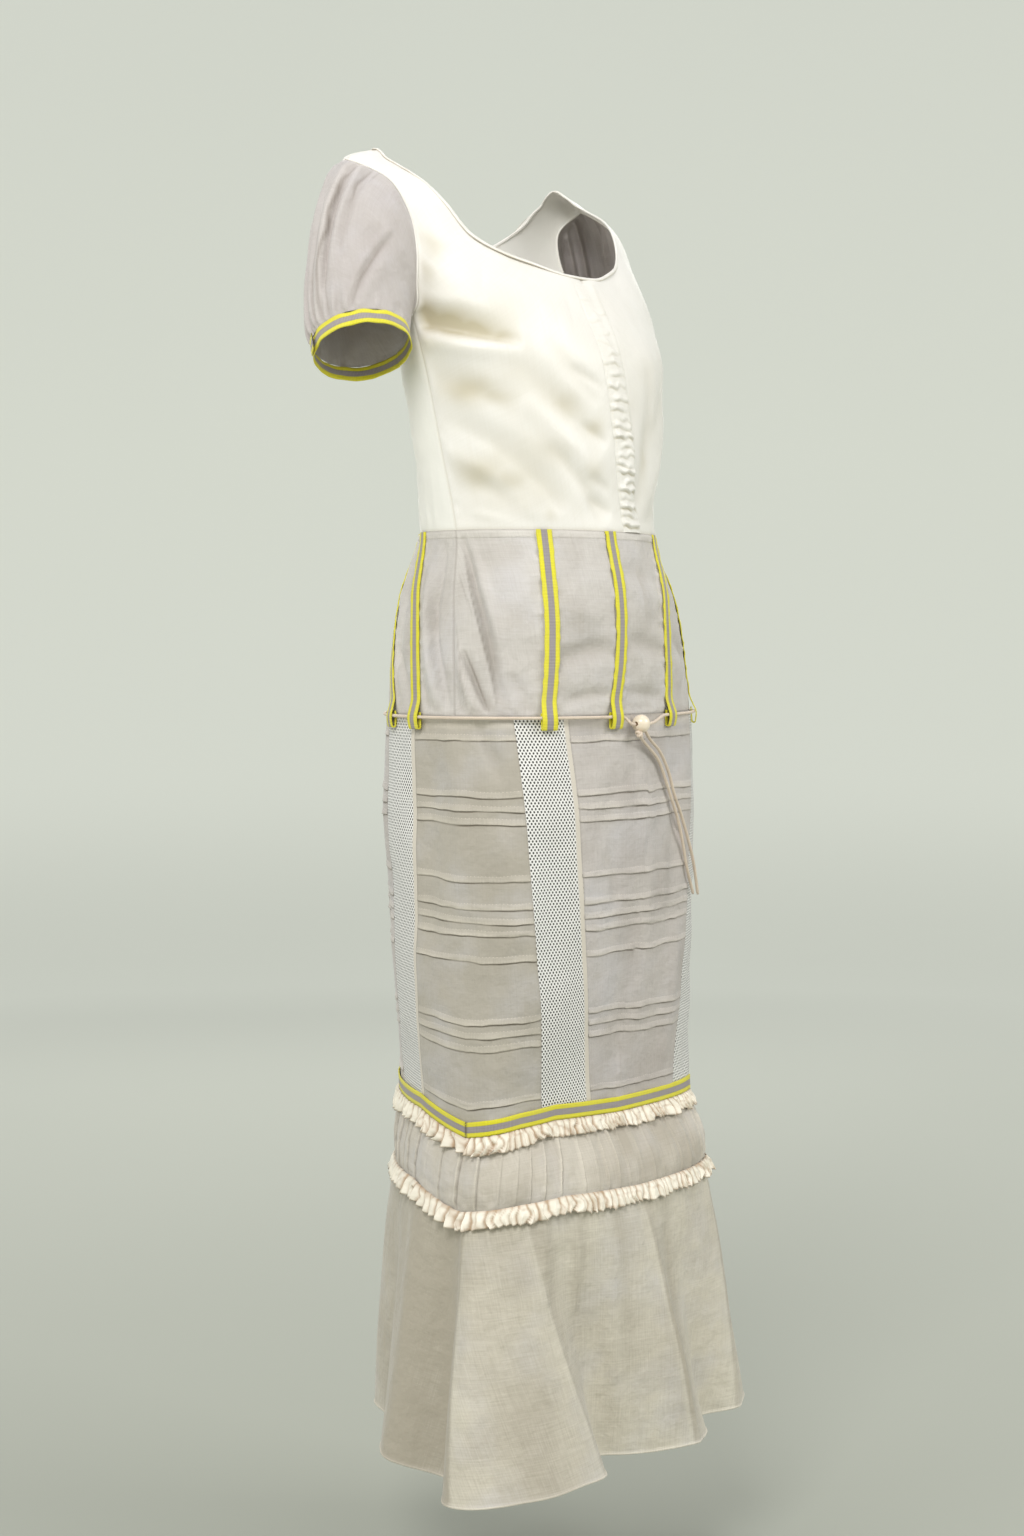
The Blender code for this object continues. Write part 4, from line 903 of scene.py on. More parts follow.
def placketBand(shape):
    u, z = spread(np.linspace(-1, 1, shape["columns"]), np.linspace(shape["top"], waistZ, shape["rows"]))
    centre = smooth(centreFront, z)
    rise, fold = np.zeros(u.shape), np.zeros(u.shape)
    share, across = (u + 1) / 2, u * shape["halfWidth"]
    for at, height, slant, start, end in shape["ruches"]:
        off = z - at - slant * u - 0.0021 * softNoise(across + at * 40, 0, 0.0068, 42)
        reach = limit((share - start + 0.20) / 0.35) * limit((end + 0.20 - share) / 0.35)
        reach = reach * (0.72 + 0.45 * softNoise(across + at * 70, 0, 0.0080, 43))
        rise = rise + height * reach * (0.0025 * bell((off - 0.0030) / 0.0028) - 0.0009 * bell(off / 0.0011))
        # a dark line in each ruche's trough: painted shade
        fold = np.maximum(fold, height * reach * bell(off / 0.0010) * 0.55)
    edge = limit((1 - np.abs(u)) / 0.30) ** 0.7
    wobble = softNoise(np.sign(u) * 7.3, z, 0.011, 41) * 0.0006 * limit((-0.19 - z) / 0.05)
    around = centre + aroundFor(z, centre, u * (shape["halfWidth"] + wobble))
    away = limit(np.abs(u) * shape["halfWidth"] / 0.0115)
    under = np.where(u < 0, bodiceCloth(around, z, bodiceShape["rightCreases"], 11)[0],
                     bodiceCloth(around, z, bodiceShape["leftCreases"], 21)[0]) * away * away * (3 - 2 * away)
    standing = 0.4 + 0.6 * limit((-0.20 - z) / 0.06)
    ruched = (rise * (0.65 + 0.35 * standing) + 0.0012 * standing) * edge
    points = offForm(z, around, bodiceShape["out"] + under + ruched + 0.0001)
    piece = clothGrid("front_placket", points, ivorySatin, ["placket"], marks={"fold": limit(fold)})
    return points


placketPoints = placketBand(placketShape)

bindingShape = {"width": 0.0037, "thickness": 0.0011, "steps": 130}


def neckBinding(shape):
    share = np.linspace(0, 1, shape["steps"])
    (rightAround, rightZ), (backAround, backZ) = edgeLine(neckRight, share), edgeLine(neckBack[::-1], share)
    (returnAround, returnZ), (leftAround, leftZ) = (edgeLine(rows, share[::-1])
                                                    for rows in (neckBack[::-1], neckLeft))
    around = np.concatenate([rightAround[:-1], -backAround[:-1], returnAround[:-1] - 4, leftAround - 4])
    z = np.concatenate([rightZ[:-1], backZ[:-1], returnZ[:-1], leftZ])
    for _ in range(3):  # eased at the corners, as a bias strip turns
        around[1:-1] = (around[:-2] + 2 * around[1:-1] + around[2:]) / 4
        z[1:-1] = (z[:-2] + 2 * z[1:-1] + z[2:]) / 4
    edge = offForm(z, around, satinWall * 0.6)
    run, out = np.gradient(edge, axis=0), outward(z, around)
    normal = unit(out)
    down = unit(np.cross(run, normal))
    down *= np.sign(np.sum(down * np.cross(out, run), axis=1, keepdims=True))
    turn = np.linspace(0.15, 2 * np.pi - 0.15, 15)  # open along its lower edge, over the cloth
    crinkle = softNoise(np.arange(len(z)), 0, 5, 51)[:, None, None] * 0.0002
    points = (edge[:, None] + down[:, None] * (0.0011 + shape["width"] / 2 * np.cos(turn)[None, :, None])
              + normal[:, None] * ((shape["thickness"] + crinkle) * np.sin(turn)[None, :, None] + 0.0006))
    # fold: darker where it crinkles; edge: darker along its lower edge; both painted shade
    piece = clothGrid("neck_binding", points, ivorySatin, ["neck_binding"], flip=True,
                      marks={"fold": np.abs(crinkle[:, :, 0]) * 900,
                             "edge": 0.55 * (np.cos(turn) > 0.80)[None, :]})


neckBinding(bindingShape)
print("bodice made")

# Sleeves and cuffs. The left arm hangs further back than the right

cuffShape = {"centre": {-1: (-0.209, -0.040, -0.196), 1: (0.205, 0.020, -0.196)},
             "axis": {-1: (0.24, 0.42, 0.875), 1: (-0.18, 0.02, 0.98)}, "radius": 0.0435,
             "lap": {-1: 0.935, 1: 0.90}, "walls": (0.0016, 0.0006)}
sleeveShape = {
    "columns": 290, "rows": 72, "ring": 0.32, "length": 0.2, "foldStrength": 1.35, "gatherHeight": 0.0028,
    # each fold: share round at the shoulder and at the cuff, first and last share down, width, height
    "folds": [
        (.03, -.005, .02, .92, .0044, .0034), (.047, .013, .02, .86, .0032, -.0032),
        (.066, .03, .02, .74, .0044, .0026), (.086, .05, .04, .66, .0036, -.0018),
        (.06, -.03, .08, .34, .003, .002), (-.024, -.044, .03, .97, .0046, .0028),
        (-.044, -.064, .05, .98, .0036, -.003), (-.07, -.086, .08, 1, .005, .0026),
        (-.096, -.108, .12, 1, .0044, -.0026), (-.13, -.132, .1, .95, .006, .0024),
        (.3, .1, .44, .98, .0042, -.0024), (.29, .082, .4, .98, .006, .002),
        (.345, .135, .4, .98, .008, .0014), (-.215, -.2, .2, .98, .007, -.0024),
        (-.28, -.26, .1, .9, .008, .002), (-.345, -.33, .15, .95, .0075, -.002),
        (.42, .4, .1, .95, .008, .0016), (.145, .16, .06, .4, .011, -.001),
        (.2, .12, .45, .66, .009, -.0012)],
    # thin shadows in the closest folds: as a fold, but the last value is how dark it is
    "lines": [
        (.052, -.01, .03, .96, .0011, .6), (.088, .034, .02, .42, .001, .5),
        (-.032, -.056, .08, .98, .0012, .45), (-.08, -.094, .15, 1, .0012, .4),
        (.012, -.03, .45, .99, .0009, .35), (.3, .1, .52, .97, .0011, .4), (.11, .06, .02, .22, .0009, .3),
        (-.112, -.12, .3, 1, .0012, .3), (.02, .03, .7, .99, .0008, .3)],
    # each gather at the cuff: share round, strength, how far up it reaches
    "gathers": [
        (.985, 1.1, .48), (.965, 1.3, .42), (.947, .9, .5), (.925, 1.2, .36), (.9, .8, .3), (.872, 1.1, .4),
        (.84, .8, .26), (.8, 1, .3), (.75, .7, .24), (.7, 1, .3), (.64, .8, .25), (.57, 1, .3),
        (.5, .7, .22), (.43, .9, .26), (.36, .6, .2), (.3, .7, .18), (.245, .5, .16), (.19, .6, .22),
        (.13, .5, .2), (.09, .7, .25), (.045, .9, .32), (.015, 1, .4)],
}


def cuffFrame(side):
    centre, up = np.array(cuffShape["centre"][side]), unit(np.array(cuffShape["axis"][side]))
    out = unit(np.array([side, 0, 0]) - up * up[0] * side)
    front = np.array([0, -1, 0]) + up * up[1]
    return centre, up, out, unit(front - out * (front @ out))


def spokes(turn, out, front):
    return np.cos(turn)[..., None] * out + np.sin(turn)[..., None] * front


def armholeRing(side, share):
    front = share <= 0.5
    inset, z = edgeLine(armhole, np.where(front, 1 - 2 * share, 2 * share - 1))
    return side * (1 - np.where(front, inset, -inset)), z


def sleeveSurface(side, u, v):
    turn = 2 * np.pi * u
    over, ahead = (1 + np.cos(turn)) / 2, np.sin(turn)
    corners = np.linspace(0, 1, 161)
    around, z = armholeRing(side, corners)
    hole = np.stack([np.interp(np.mod(u, 1), corners, c) for c in offForm(z, around, satinWall).T], -1)
    start = hole + 0.0004 * unit(np.array([side * 0.158, -0.022, -0.090]) - hole)
    centre, up, out, front = cuffFrame(side)
    spoke = spokes(turn, out, front)
    end = centre + up * 0.0003 + spoke * (cuffShape["radius"] + voileWall)
    leave = np.stack([side * (0.50 + 0.35 * over), -0.50 * ahead, -0.75 + 0.70 * over], -1)
    leave *= (0.006 + 0.026 * over ** 0.6)[..., None]
    arrive = (spoke * 0.10 + up * 0.97) * (0.007 + 0.048 * over ** 0.8)[..., None]
    t = v[..., None]
    return ((1 - t) ** 3 * start + 3 * t * (1 - t) ** 2 * (start + leave)
            + 3 * t**2 * (1 - t) * (end + arrive) + t**3 * end)


def taperOf(v, first, last, power):  # 0 at both ends of a fold, 1 half way
    share = limit((v - first) / (last - first))
    return limit(4 * share * (1 - share)) ** power


def sleeve(name, side, seed, shape):
    u, v = spread(np.linspace(0.5, 1.5, shape["columns"]), np.linspace(0, 1, shape["rows"]))
    base = sleeveSurface(side, u, v)
    normal = unit(np.cross(np.gradient(base, axis=1), np.gradient(base, axis=0)) * side)
    ring, turned = shape["ring"], np.mod(u, 1)
    rise, fold, line = np.zeros(u.shape), np.zeros(u.shape), np.zeros(u.shape)
    for top, bottom, first, last, width, height in shape["folds"]:
        off = wrapped(turned - (top + (bottom - top) * v), 1) * ring
        taper = taperOf(v, first, last, 0.5)
        ridge = bell(off / (width * (0.6 + 0.4 * taper))) * taper
        rise = rise + shape["foldStrength"] * height * ridge
        # painted shade in each trough
        fold = fold + limit(-height / 0.003) * ridge * 0.55
    for at, strength, reach in shape["gathers"]:
        share = limit((v - (1 - reach)) / reach)
        off = wrapped(turned - at - 0.012 * np.sin(at * 40) * (1 - share), 1) * ring
        ridge = bell(off / (0.0022 + 0.0030 * (1 - share))) * share ** 1.2
        rise = rise + strength * shape["gatherHeight"] * ridge
        # painted shade between the gathers
        fold = fold + strength * 0.45 * bell((np.abs(off) - 0.0040) / 0.0014) * share ** 2
    for top, bottom, first, last, width, dark in shape["lines"]:
        wander = 0.004 * softNoise(v, top * 50, 0.09, 77)
        off = wrapped(turned - top - (bottom - top) * v + wander, 1) * ring
        line = np.maximum(line, dark * bell(off / width) * taperOf(v, first, last, 0.6))
    bundle = bell(wrapped(turned - 0.040 + 0.045 * v, 1) / 0.022) * 0.7
    over = (1 + np.cos(2 * np.pi * turned)) / 2
    x, y = turned * ring, v * shape["length"]
    rise = (rise * (0.30 + 0.70 * over ** 0.5)
            + unevenness(x, y, (0.03, 0.0010, seed), (0.010, 0.0003, seed + 1)) * over ** 0.3)
    ends = limit(v / 0.05) * limit((1 - v) / 0.03, 0.25)
    points = base + normal * (rise * ends - 0.0002)[..., None]
    points[:, -1] = points[:, 0] = (points[:, -1] + points[:, 0]) / 2
    piece = clothGrid(name, points, voiles["sleeveVoile"], [name], flip=side > 0, marks={
        "doubled": bundle, "fold": limit(fold + 0.35 * limit(softNoise(x, y, 0.022, 78))) * ends,
        "edge": np.maximum(np.maximum(0.30 * (v < 0.006), 0.20 * (v > 0.994)), line)})


def cuffBand(name, side, seed, shape):
    centre, up, out, front = cuffFrame(side)
    u, down = np.linspace(0.5, 1.5, 241)[:, None], np.linspace(0, 1, 9)[None, :]
    ripple = softNoise(u * 0.27, 0, 0.011, seed) * (0.0004 + 0.0006 * np.abs(down * 2 - 1) ** 2)
    drop = tapeWidth * down + 0.0003 * softNoise(u * 0.27, 4, 0.006, seed + 1) * np.sign(down - 0.5)
    spoke = spokes(2 * np.pi * u, out, front)
    faces = [centre - up * drop[..., None] + spoke * (shape["radius"] + wall + ripple)[..., None]
             for wall in shape["walls"]]
    points, uv = wrapBand(*faces, gridUv((down - 0.5) * tapeWidth, u * 2 * np.pi * shape["radius"]))
    points[-1] = points[0]
    piece = clothGrid(name, points, stripedTape, [name], uv=uv, flip=side < 0)
    # the tape's end, lapped over and a little frayed
    lap = np.linspace(shape["lap"][side] - 0.045, shape["lap"][side] + 0.008, 26)[:, None]
    spoke = spokes(2 * np.pi * lap, out, front)
    share = (lap - lap[0]) / (lap[-1] - lap[0])
    lift = 0.0009 + 0.0014 * share ** 4 + 0.0003 * softNoise(lap * 9, down, 0.3, 5)
    lower = tapeWidth * down + 0.0012 * share * down + 0.0006 * softNoise(lap * 4, down * 3, 0.4, 7) * share
    over = shape["radius"] + shape["walls"][0] + lift
    faces = [centre - up * (lower - 0.0004)[..., None] + spoke * (over + wall)[..., None]
             for wall in (0.0008, 0.0)]
    points, uv = wrapBand(*faces, gridUv((down - 0.5) * tapeWidth, lap * 0.27))
    end = clothGrid(name + "_end", points, stripedTape, uv=uv, flip=side < 0)


def armholeWelt(name, side):  # the pale folded seam where sleeve and bodice meet
    share = np.linspace(0, 1, 200)
    around, z = armholeRing(side, share)
    route = offForm(z, around, satinWall + 0.0004)
    route[-1] = route[0]
    points, uv = tubeGrid(route, 0.0011 + 0.0002 * softNoise(share * 0.5, 0, 0.02, 61), 10)
    clothGrid(name, points, ivorySatin, uv=uv * [0.007, 1])


for sideName, sideSign in (("right", -1), ("left", 1)):
    sleeve("sleeve_" + sideName, sideSign, 71 + sideSign, sleeveShape)
    cuffBand("cuff_tape_" + sideName, sideSign, 81 + sideSign, cuffShape)
    armholeWelt("armhole_welt_" + sideName, sideSign)
print("sleeves made")

# Yoke: two panels, ten tapes whose folds hold the cord

yokeShape = {
    "columns": 220, "rows": 90, "bandDrop": 0.0075, "bandRows": [0.040, 0.0445, 0.049], "creaseStrength": 2.6,
    # both edges of the doubled strip at the right side: around at the waist, slant over the drop, its power
    "strip": [(-1.045, 0.12, 1.2), (-0.965, 0.165, 1.0)], "stripDrop": 0.172,
    # around the front and the right side, as seen, then similar ones on the left and the back
    "creases": [
        (-.97, -.374, -.8, -.532, .006, .0042, -.0026, .3), (-.94, -.374, -.76, -.52, .006, .005, .0018),
        (-1.13, -.42, -1.03, -.534, -.003, .004, -.0026, .3),
        (-1.16, -.4, -1.07, -.536, -.004, .0055, .0022),
        (-.96, -.48, -.84, -.539, -.001, .0034, -.0026, .4), (-1, -.47, -.9, -.539, -.001, .0045, .0018),
        (-1.02, -.5, -.97, -.539, 0, .003, -.002), (-1.08, -.378, -1.12, -.47, .002, .0045, -.0018),
        (-1.26, -.47, -1.14, -.536, .002, .005, -.0018), (-.76, -.5, -.66, -.539, .002, .006, -.0012),
        (-.56, -.492, -.24, -.478, .004, .01, -.0022), (-.52, -.528, -.26, -.52, .002, .006, -.0016),
        (-.5, -.43, -.3, -.452, -.003, .012, .0014), (-.17, -.47, .16, -.486, .003, .009, -.0018),
        (-.14, -.402, .2, -.412, -.002, .01, -.0012), (-.16, -.52, .12, -.526, .002, .006, -.0014),
        (.95, -.385, .78, -.52, -.006, .008, -.002), (1.06, -.4, 1, -.535, .004, .007, .0018),
        (.26, -.47, .54, -.49, .004, .01, -.0018), (.68, -.43, .92, -.46, .004, .012, -.0014),
        (1.3, -.48, 1.5, -.5, .004, .01, -.0018), (1.62, -.4, 1.74, -.53, .006, .008, -.002),
        (1.92, -.43, 2.06, -.452, .004, .012, .0016), (2.26, -.39, 2.34, -.535, -.006, .008, -.002),
        (2.6, -.48, 2.74, -.53, .004, .007, -.0018), (-1.34, -.39, -1.46, -.52, .004, .008, -.0018)],
    # thin shadows of the sharpest folds, rows as for creases
    "lines": [
        (-.965, -.385, -.8, -.536, .002, .0009, .55), (-.945, -.478, -.84, -.536, -.001, .0011, .6),
        (-1.12, -.445, -1, -.5, -.003, .0012, .4), (-1.05, -.385, -.935, -.536, .002, .0008, .35),
        (-1.18, -.47, -1.08, -.532, .002, .0012, .35), (-1, -.4, -.9, -.45, .001, .0008, .25),
        (1.03, -.39, .96, -.53, .002, .0009, .45), (1.12, -.47, 1.02, -.532, .002, .0011, .35)],
}


def tapeCentre(row, z):
    course = [(yokeHemZ, row[3]), ((waistZ + yokeHemZ) / 2, row[2]), (waistZ, row[1])]
    return smooth(course, limit(z, yokeHemZ, waistZ))


def yokeHeight(around, z):
    x = around * quarterLength
    height = (yokeShape["creaseStrength"] * creasesRound(around, z, yokeShape["creases"])
              + unevenness(x, z, (0.050, 0.0018, 101), (0.018, 0.0006, 102)))
    pucker = np.zeros(np.shape(x))
    for row in yokeTapes:  # the stitching draws the cloth up beside each tape
        off = wrapped(around - tapeCentre(row, z), 4) * quarterLength
        beside = bell((np.abs(off) - 0.0075) / 0.0060) * (np.abs(off) > 0.006)
        pucker = pucker + beside * softNoise(np.sign(off) * 3.1 + row[1] * 7, z, 0.0055, 103) * 0.0011
        height = height * (1 - limit((0.0095 - np.abs(off)) / 0.003))
    return height + pucker


def yokePanel(name, start, shape):
    stops = np.unique(np.concatenate([np.linspace(0, 1, shape["rows"]), shape["bandRows"]]))
    around, z = spread(start + 2 * np.linspace(0, 1, shape["columns"]), waistZ + (yokeHemZ - waistZ) * stops)
    drop = waistZ - z
    fade = edgeFade(z.shape, 4)
    band = limit((shape["bandDrop"] - drop) / 0.0006 + 0.5)  # the seam allowance shows through above
    ridge = 0.0005 * band * limit(drop / 0.0012)
    # fold: painted shade in the crease troughs, random darker patches, and painted shade between around -0.58
    # and 1
    fold = limit(-creases(around, z, shape["creases"]) / 0.003) * 0.45
    fold = limit(fold + 0.40 * limit(softNoise(clothAcross(around), z, 0.030, 104) + 0.1)
                 + 0.16 * limit((around + 0.58) / 0.06) * limit((1 - around) / 0.2))
    line = limit(creases(around, z, shape["lines"]), 0, 0.7) * fade
    first, last = (at + slant * (drop / shape["stripDrop"]) ** power for at, slant, power in shape["strip"])
    strip = limit((around - first) / 0.006) * limit((last - around) / 0.006) * 0.40
    out = 0.0010 + yokeHeight(around, z) * fade + ridge
    piece = addCloth(name, z, around, out, voiles["yokeVoile"], "voile", 0.30, fold * fade, line=line,
                     doubled=np.maximum(band * 0.9, strip))


# A tape from the side, as drop and distance out: flat below the waist, then its loop at the yoke's hem
tapeFlat = [(0.0003, 0.0024), (0.040, 0.0024), (0.080, 0.0024), (0.120, 0.0024), (0.145, 0.0024)]
tapeLoop = [
    (-.013, .003), (-.006, .0053), (.001, .0076), (.008, .0071), (.0125, .0053), (.012, .0037),
    (.007, .003), (-.003, .003)]
tapeStitches = []


def yokeTape(row, seed):
    knots = np.array([(top - drop, out) for top, part in ((waistZ, tapeFlat), (yokeHemZ, tapeLoop))
                      for drop, out in part])
    run = runAlong(knots)
    turning = run[len(tapeFlat)]
    at = np.concatenate([np.linspace(0, turning, 110)[:-1], np.linspace(turning, run[-1], 60)])
    path = smoothPath(run, knots, at)
    ahead = unit(np.gradient(path, axis=0))
    wide = np.linspace(-0.5, 0.5, 11)
    ripple = softNoise(np.sign(wide)[None, :] * 2.3 + seed, at[:, None], 0.0050, seed)
    ripple = ripple * np.abs(wide * 2)[None, :] ** 3 * limit((turning + 0.004 - at) / 0.02, 0.15)[:, None]
    middle = tapeCentre(row, limit(path[:, 0], yokeHemZ, waistZ))[:, None]
    faces = []
    for offset in (tapeWall / 2, -tapeWall / 2):
        out = (path[:, 1] - offset * ahead[:, 0])[:, None] + ripple * 0.0005
        z, centre, out = np.broadcast_arrays((path[:, 0] + offset * ahead[:, 1])[:, None], middle, out)
        around = centre + aroundFor(z, centre, wide * tapeWidth + ripple * 0.0003)
        faces.append(offForm(z, around, out))
        if offset > 0:
            normal = outward(z, around)
            tapeStitches.extend((faces[0][at < turning, column], normal[at < turning, column])
                                for column in (1, -2))
    points, uv = wrapBand(*faces, gridUv(wide[None, :] * tapeWidth, at[:, None]))
    piece = clothGrid(row[0], points, stripedTape, [row[0]], uv=uv)


yokePanel("yoke_front", -1, yokeShape)
yokePanel("yoke_back", 1, yokeShape)
for count, tapeRow in enumerate(yokeTapes):
    yokeTape(tapeRow, 111 + count)
print("yoke made")

# Skirt: four tucked panels and four mesh panels between them

# The hem tape's upper edge: around and z
hemTapeLine = [
    (-2, -.902), (-1.3, -.902), (-1, -.916), (-.72, -.907), (-.5, -.904), (0, -.91), (.5, -.911),
    (.75, -.911), (1, -.916), (1.3, -.904), (2, -.902)]
# Each panel starts at its row's around: at the yoke, half way, at the hem tape
skirtSeams = [
    ("skirt_front", -.49, -.385, -.2), ("mesh_front_left", .5, .5, .53), ("skirt_side_left", .76, .79, .88),
    ("mesh_back_left", 1.21, 1.245, 1.29), ("skirt_back", 1.44, 1.46, 1.55),
    ("mesh_back_right", 2.56, 2.54, 2.45), ("skirt_side_right", 2.79, 2.755, 2.72),
    ("mesh_front_right", 3.26, 3.34, 3.44)]
tuckDrops = [
    .023, .073, .086, .098, .15, .175, .188, .2, .224, .281, .293, .305, .357]
# The rows of points at each tuck, closest at its free edge
tuckRows = [
    -.006, -.0053, -.005, -.0036, -.002, -.0008, 0, .0003, .0006, .0009, .0014, .0019, .0028]
skirtShape = {
    "length": 0.384, "tierTopDrop": 0.017, "evenHemZ": -0.908, "tuckRise": 0.00125, "tuckDepth": 0.0052,
    "wobble": 0.0016, "creaseStrength": 2.1,
    "creases": [
        (-1.04, -.545, -.98, -.7, .004, .01, .0018), (-.9, -.545, -.8, -.6, .001, .006, -.002, .2),
        (-1.1, -.56, -1.16, -.76, -.004, .014, -.002), (-.8, -.64, -.72, -.88, .005, .016, .002),
        (-.96, -.72, -1, -.9, .003, .014, -.002), (-.28, -.57, -.16, -.76, .004, .014, -.0016),
        (.04, -.6, .1, -.84, -.004, .018, .0022), (.24, -.56, .3, -.72, .004, .014, -.0016),
        (.34, -.74, .4, -.89, .002, .014, .0016), (-.02, -.72, -.04, -.88, .003, .016, -.0016),
        (.94, -.56, .96, -.72, .004, .014, -.0018), (1.1, -.64, 1.12, -.88, -.004, .016, .002),
        (1.62, -.56, 1.66, -.78, .004, .018, .0022), (1.86, -.6, 1.9, -.88, -.004, .02, -.0022),
        (2.12, -.56, 2.16, -.8, .004, .018, .002), (2.34, -.64, 2.3, -.89, .004, .018, -.0022)],
}
netColumns = 27


def hemDrop(around):
    return np.interp(wrapped(np.asarray(around, float), 4), *np.array(hemTapeLine).T)


def skirtHeight(around, z):
    x = clothAcross(around)
    return (skirtShape["creaseStrength"] * creasesRound(around, z, skirtShape["creases"])
            + softNoise(x, z * 0.5, 0.045, 131) * 0.0018 + softNoise(x, z * 0.6, 0.020, 132) * 0.0011)


def panelRows():
    length = skirtShape["length"]
    rows = [drop + fine for drop in tuckDrops for fine in tuckRows]
    rows = np.array(sorted({0.0, length, *rows, *np.arange(0.004, length, 0.005)}))
    return rows[np.concatenate([[True], np.diff(rows) > 0.00022])]


def tuckProfile(drop):
    rise, doubled, edge = np.zeros(drop.shape), np.zeros(drop.shape), np.zeros(drop.shape)
    for at in tuckDrops:
        back = (drop - at) / skirtShape["tuckDepth"]  # -1 at the stitching above, 0 at the free edge
        on = (back > -1) & (back <= 0.0)
        share = limit(1 + back)
        rise = np.where(on, 0.00015 + skirtShape["tuckRise"] * share ** 0.8, rise)
        doubled = np.where(on, 0.25 + 0.65 * share ** 1.5, doubled)
        # edge: a painted shadow just under each tuck's free edge
        under = limit(1 - np.abs(drop - at - 0.0009) / 0.0008)
        rise = rise - 0.0004 * under
        edge = np.maximum(edge, under ** 0.5 * 0.85)
    return rise, doubled, edge


def panelPoints(left, right, rows, columns, seed):  # a seed of 0 is for a plain panel
    share = (rows / skirtShape["length"])[:, None]
    u = np.linspace(0, 1, columns)[None, :]
    start, end = (smooth([(0, seam[1]), (0.5, seam[2]), (1, seam[3])], share) for seam in (left, right))
    end = np.where(end < start, end + 4, end)
    around = start + (end - start) * u
    x, drop = clothAcross(around), np.broadcast_to(rows[:, None], around.shape)
    wobble = rise = doubled = edge = np.zeros(around.shape)
    if seed:
        wobble = softNoise(x, drop * 1.3, 0.030, seed) * skirtShape["wobble"]
        wobble = wobble + softNoise(x, drop * 2, 0.010, seed + 1) * skirtShape["wobble"] * 0.3
        wobble *= limit(share / 0.04) * limit((1 - share) / 0.04)
        rise, doubled, edge = tuckProfile(drop)
    evenly = skirtShape["evenHemZ"] - skirtShape["tierTopDrop"]
    bottom = hemDrop(around) - skirtShape["tierTopDrop"]
    z = yokeHemZ + (evenly - yokeHemZ) * share + (bottom - evenly) * share ** 2.4 + wobble
    height = skirtHeight(around, z) * (limit(share / 0.02) * limit((1 - share) / 0.02))
    sides = limit(np.minimum(u, 1 - u) / 0.03)
    # a tuck lies closer here and there
    firm = 0.75 + 0.45 * softNoise(x, np.round(drop / 0.012) * 0.7, 0.016, seed + 5)
    points = offForm(z, around, 0.0010 + height + rise * (0.35 + 0.65 * sides) * firm)
    return points, around, doubled, edge * limit(firm), drop


tuckStitches = []


def tuckedPanel(name, left, right, rows, seed):
    atSide = "side" in name
    points, around, doubled, edge, drop = panelPoints(left, right, rows, 70 if atSide else 96, seed)
    normal = outward(points[:, :, 2], around)
    for at in tuckDrops:
        row = int(np.abs(rows - (at - skirtShape["tuckDepth"] - 0.0002)).argmin())
        tuckStitches.append((points[row, 1:-1], normal[row, 1:-1]))
    top = limit((0.0125 - drop) / 0.001)
    finish = voiles["sidePanelVoile" if atSide else "frontPanelVoile"]
    piece = clothGrid(name, points, finish, [name], marks={
        "doubled": np.maximum(doubled, top * 0.6), "edge": np.maximum(edge, borderMark(drop.shape, 0.30)),
        "fold": 0.35 * limit(softNoise(clothAcross(around), drop * 0.7, 0.024, 133))})


def netPanel(name, left, right, rows):
    points = panelPoints(left, right, rows, netColumns, 0)[0]
    side = limit((np.linspace(0, 1, netColumns)[None, :] - 0.895) / 0.02)
    piece = clothGrid(name, points, whiteNet, [name], marks={"doubled": side, "fold": side * 0.8})


for count, panelSeam in enumerate(skirtSeams):
    nextSeam = skirtSeams[(count + 1) % len(skirtSeams)]
    if panelSeam[0].startswith("skirt"):
        tuckedPanel(panelSeam[0], panelSeam, nextSeam, panelRows(), 141 + count)
    else:
        netPanel(panelSeam[0], panelSeam, nextSeam, np.linspace(0, skirtShape["length"], 120))
print("skirt panels made")

# Hem tape, ruffles, tier and flounce

lowerShape = {"flounceTopDrop": 0.085, "flounceDrop": 0.252, "lying": voileWall + 0.0003}


def hemBand():
    around = np.linspace(-2, 2, 601)[:, None]
    wide = np.linspace(0, 1, 9)[None, :]
    ripple = softNoise(around * quarterLength, np.sign(wide - 0.5) * 3, 0.009, 161)
    ripple = ripple * np.abs(2 * wide - 1) ** 3
    z = hemDrop(around) - tapeWidth * wide + ripple * 0.0003
    faces = [offForm(z, around, lowerShape["lying"] + 0.0006 + wall + ripple * 0.0004)
             for wall in (tapeWall, 0.0)]
    for face in faces:
        face[-1] = face[0]
    run = runAlong(faces[0][:, 4])[:, None]
    points, uv = wrapBand(*faces, gridUv((wide - 0.5) * tapeWidth, run))
    piece = clothGrid("hem_tape", points, stripedTape, ["hem_tape"], uv=uv, flip=True,
                      marks={"edge": limit(1 - np.abs(around + 1.0) / 0.009) * 0.9})
    normal = outward(hemDrop(around), around)[:, 0]
    tapeStitches.extend((faces[0][:, column], normal) for column in (1, -2))


ruffleShape = {"waves": 92, "height": 0.0150, "stand": 0.0022, "swing": 0.0046, "sideways": 0.0022,
               "columns": 1500, "rows": 10}


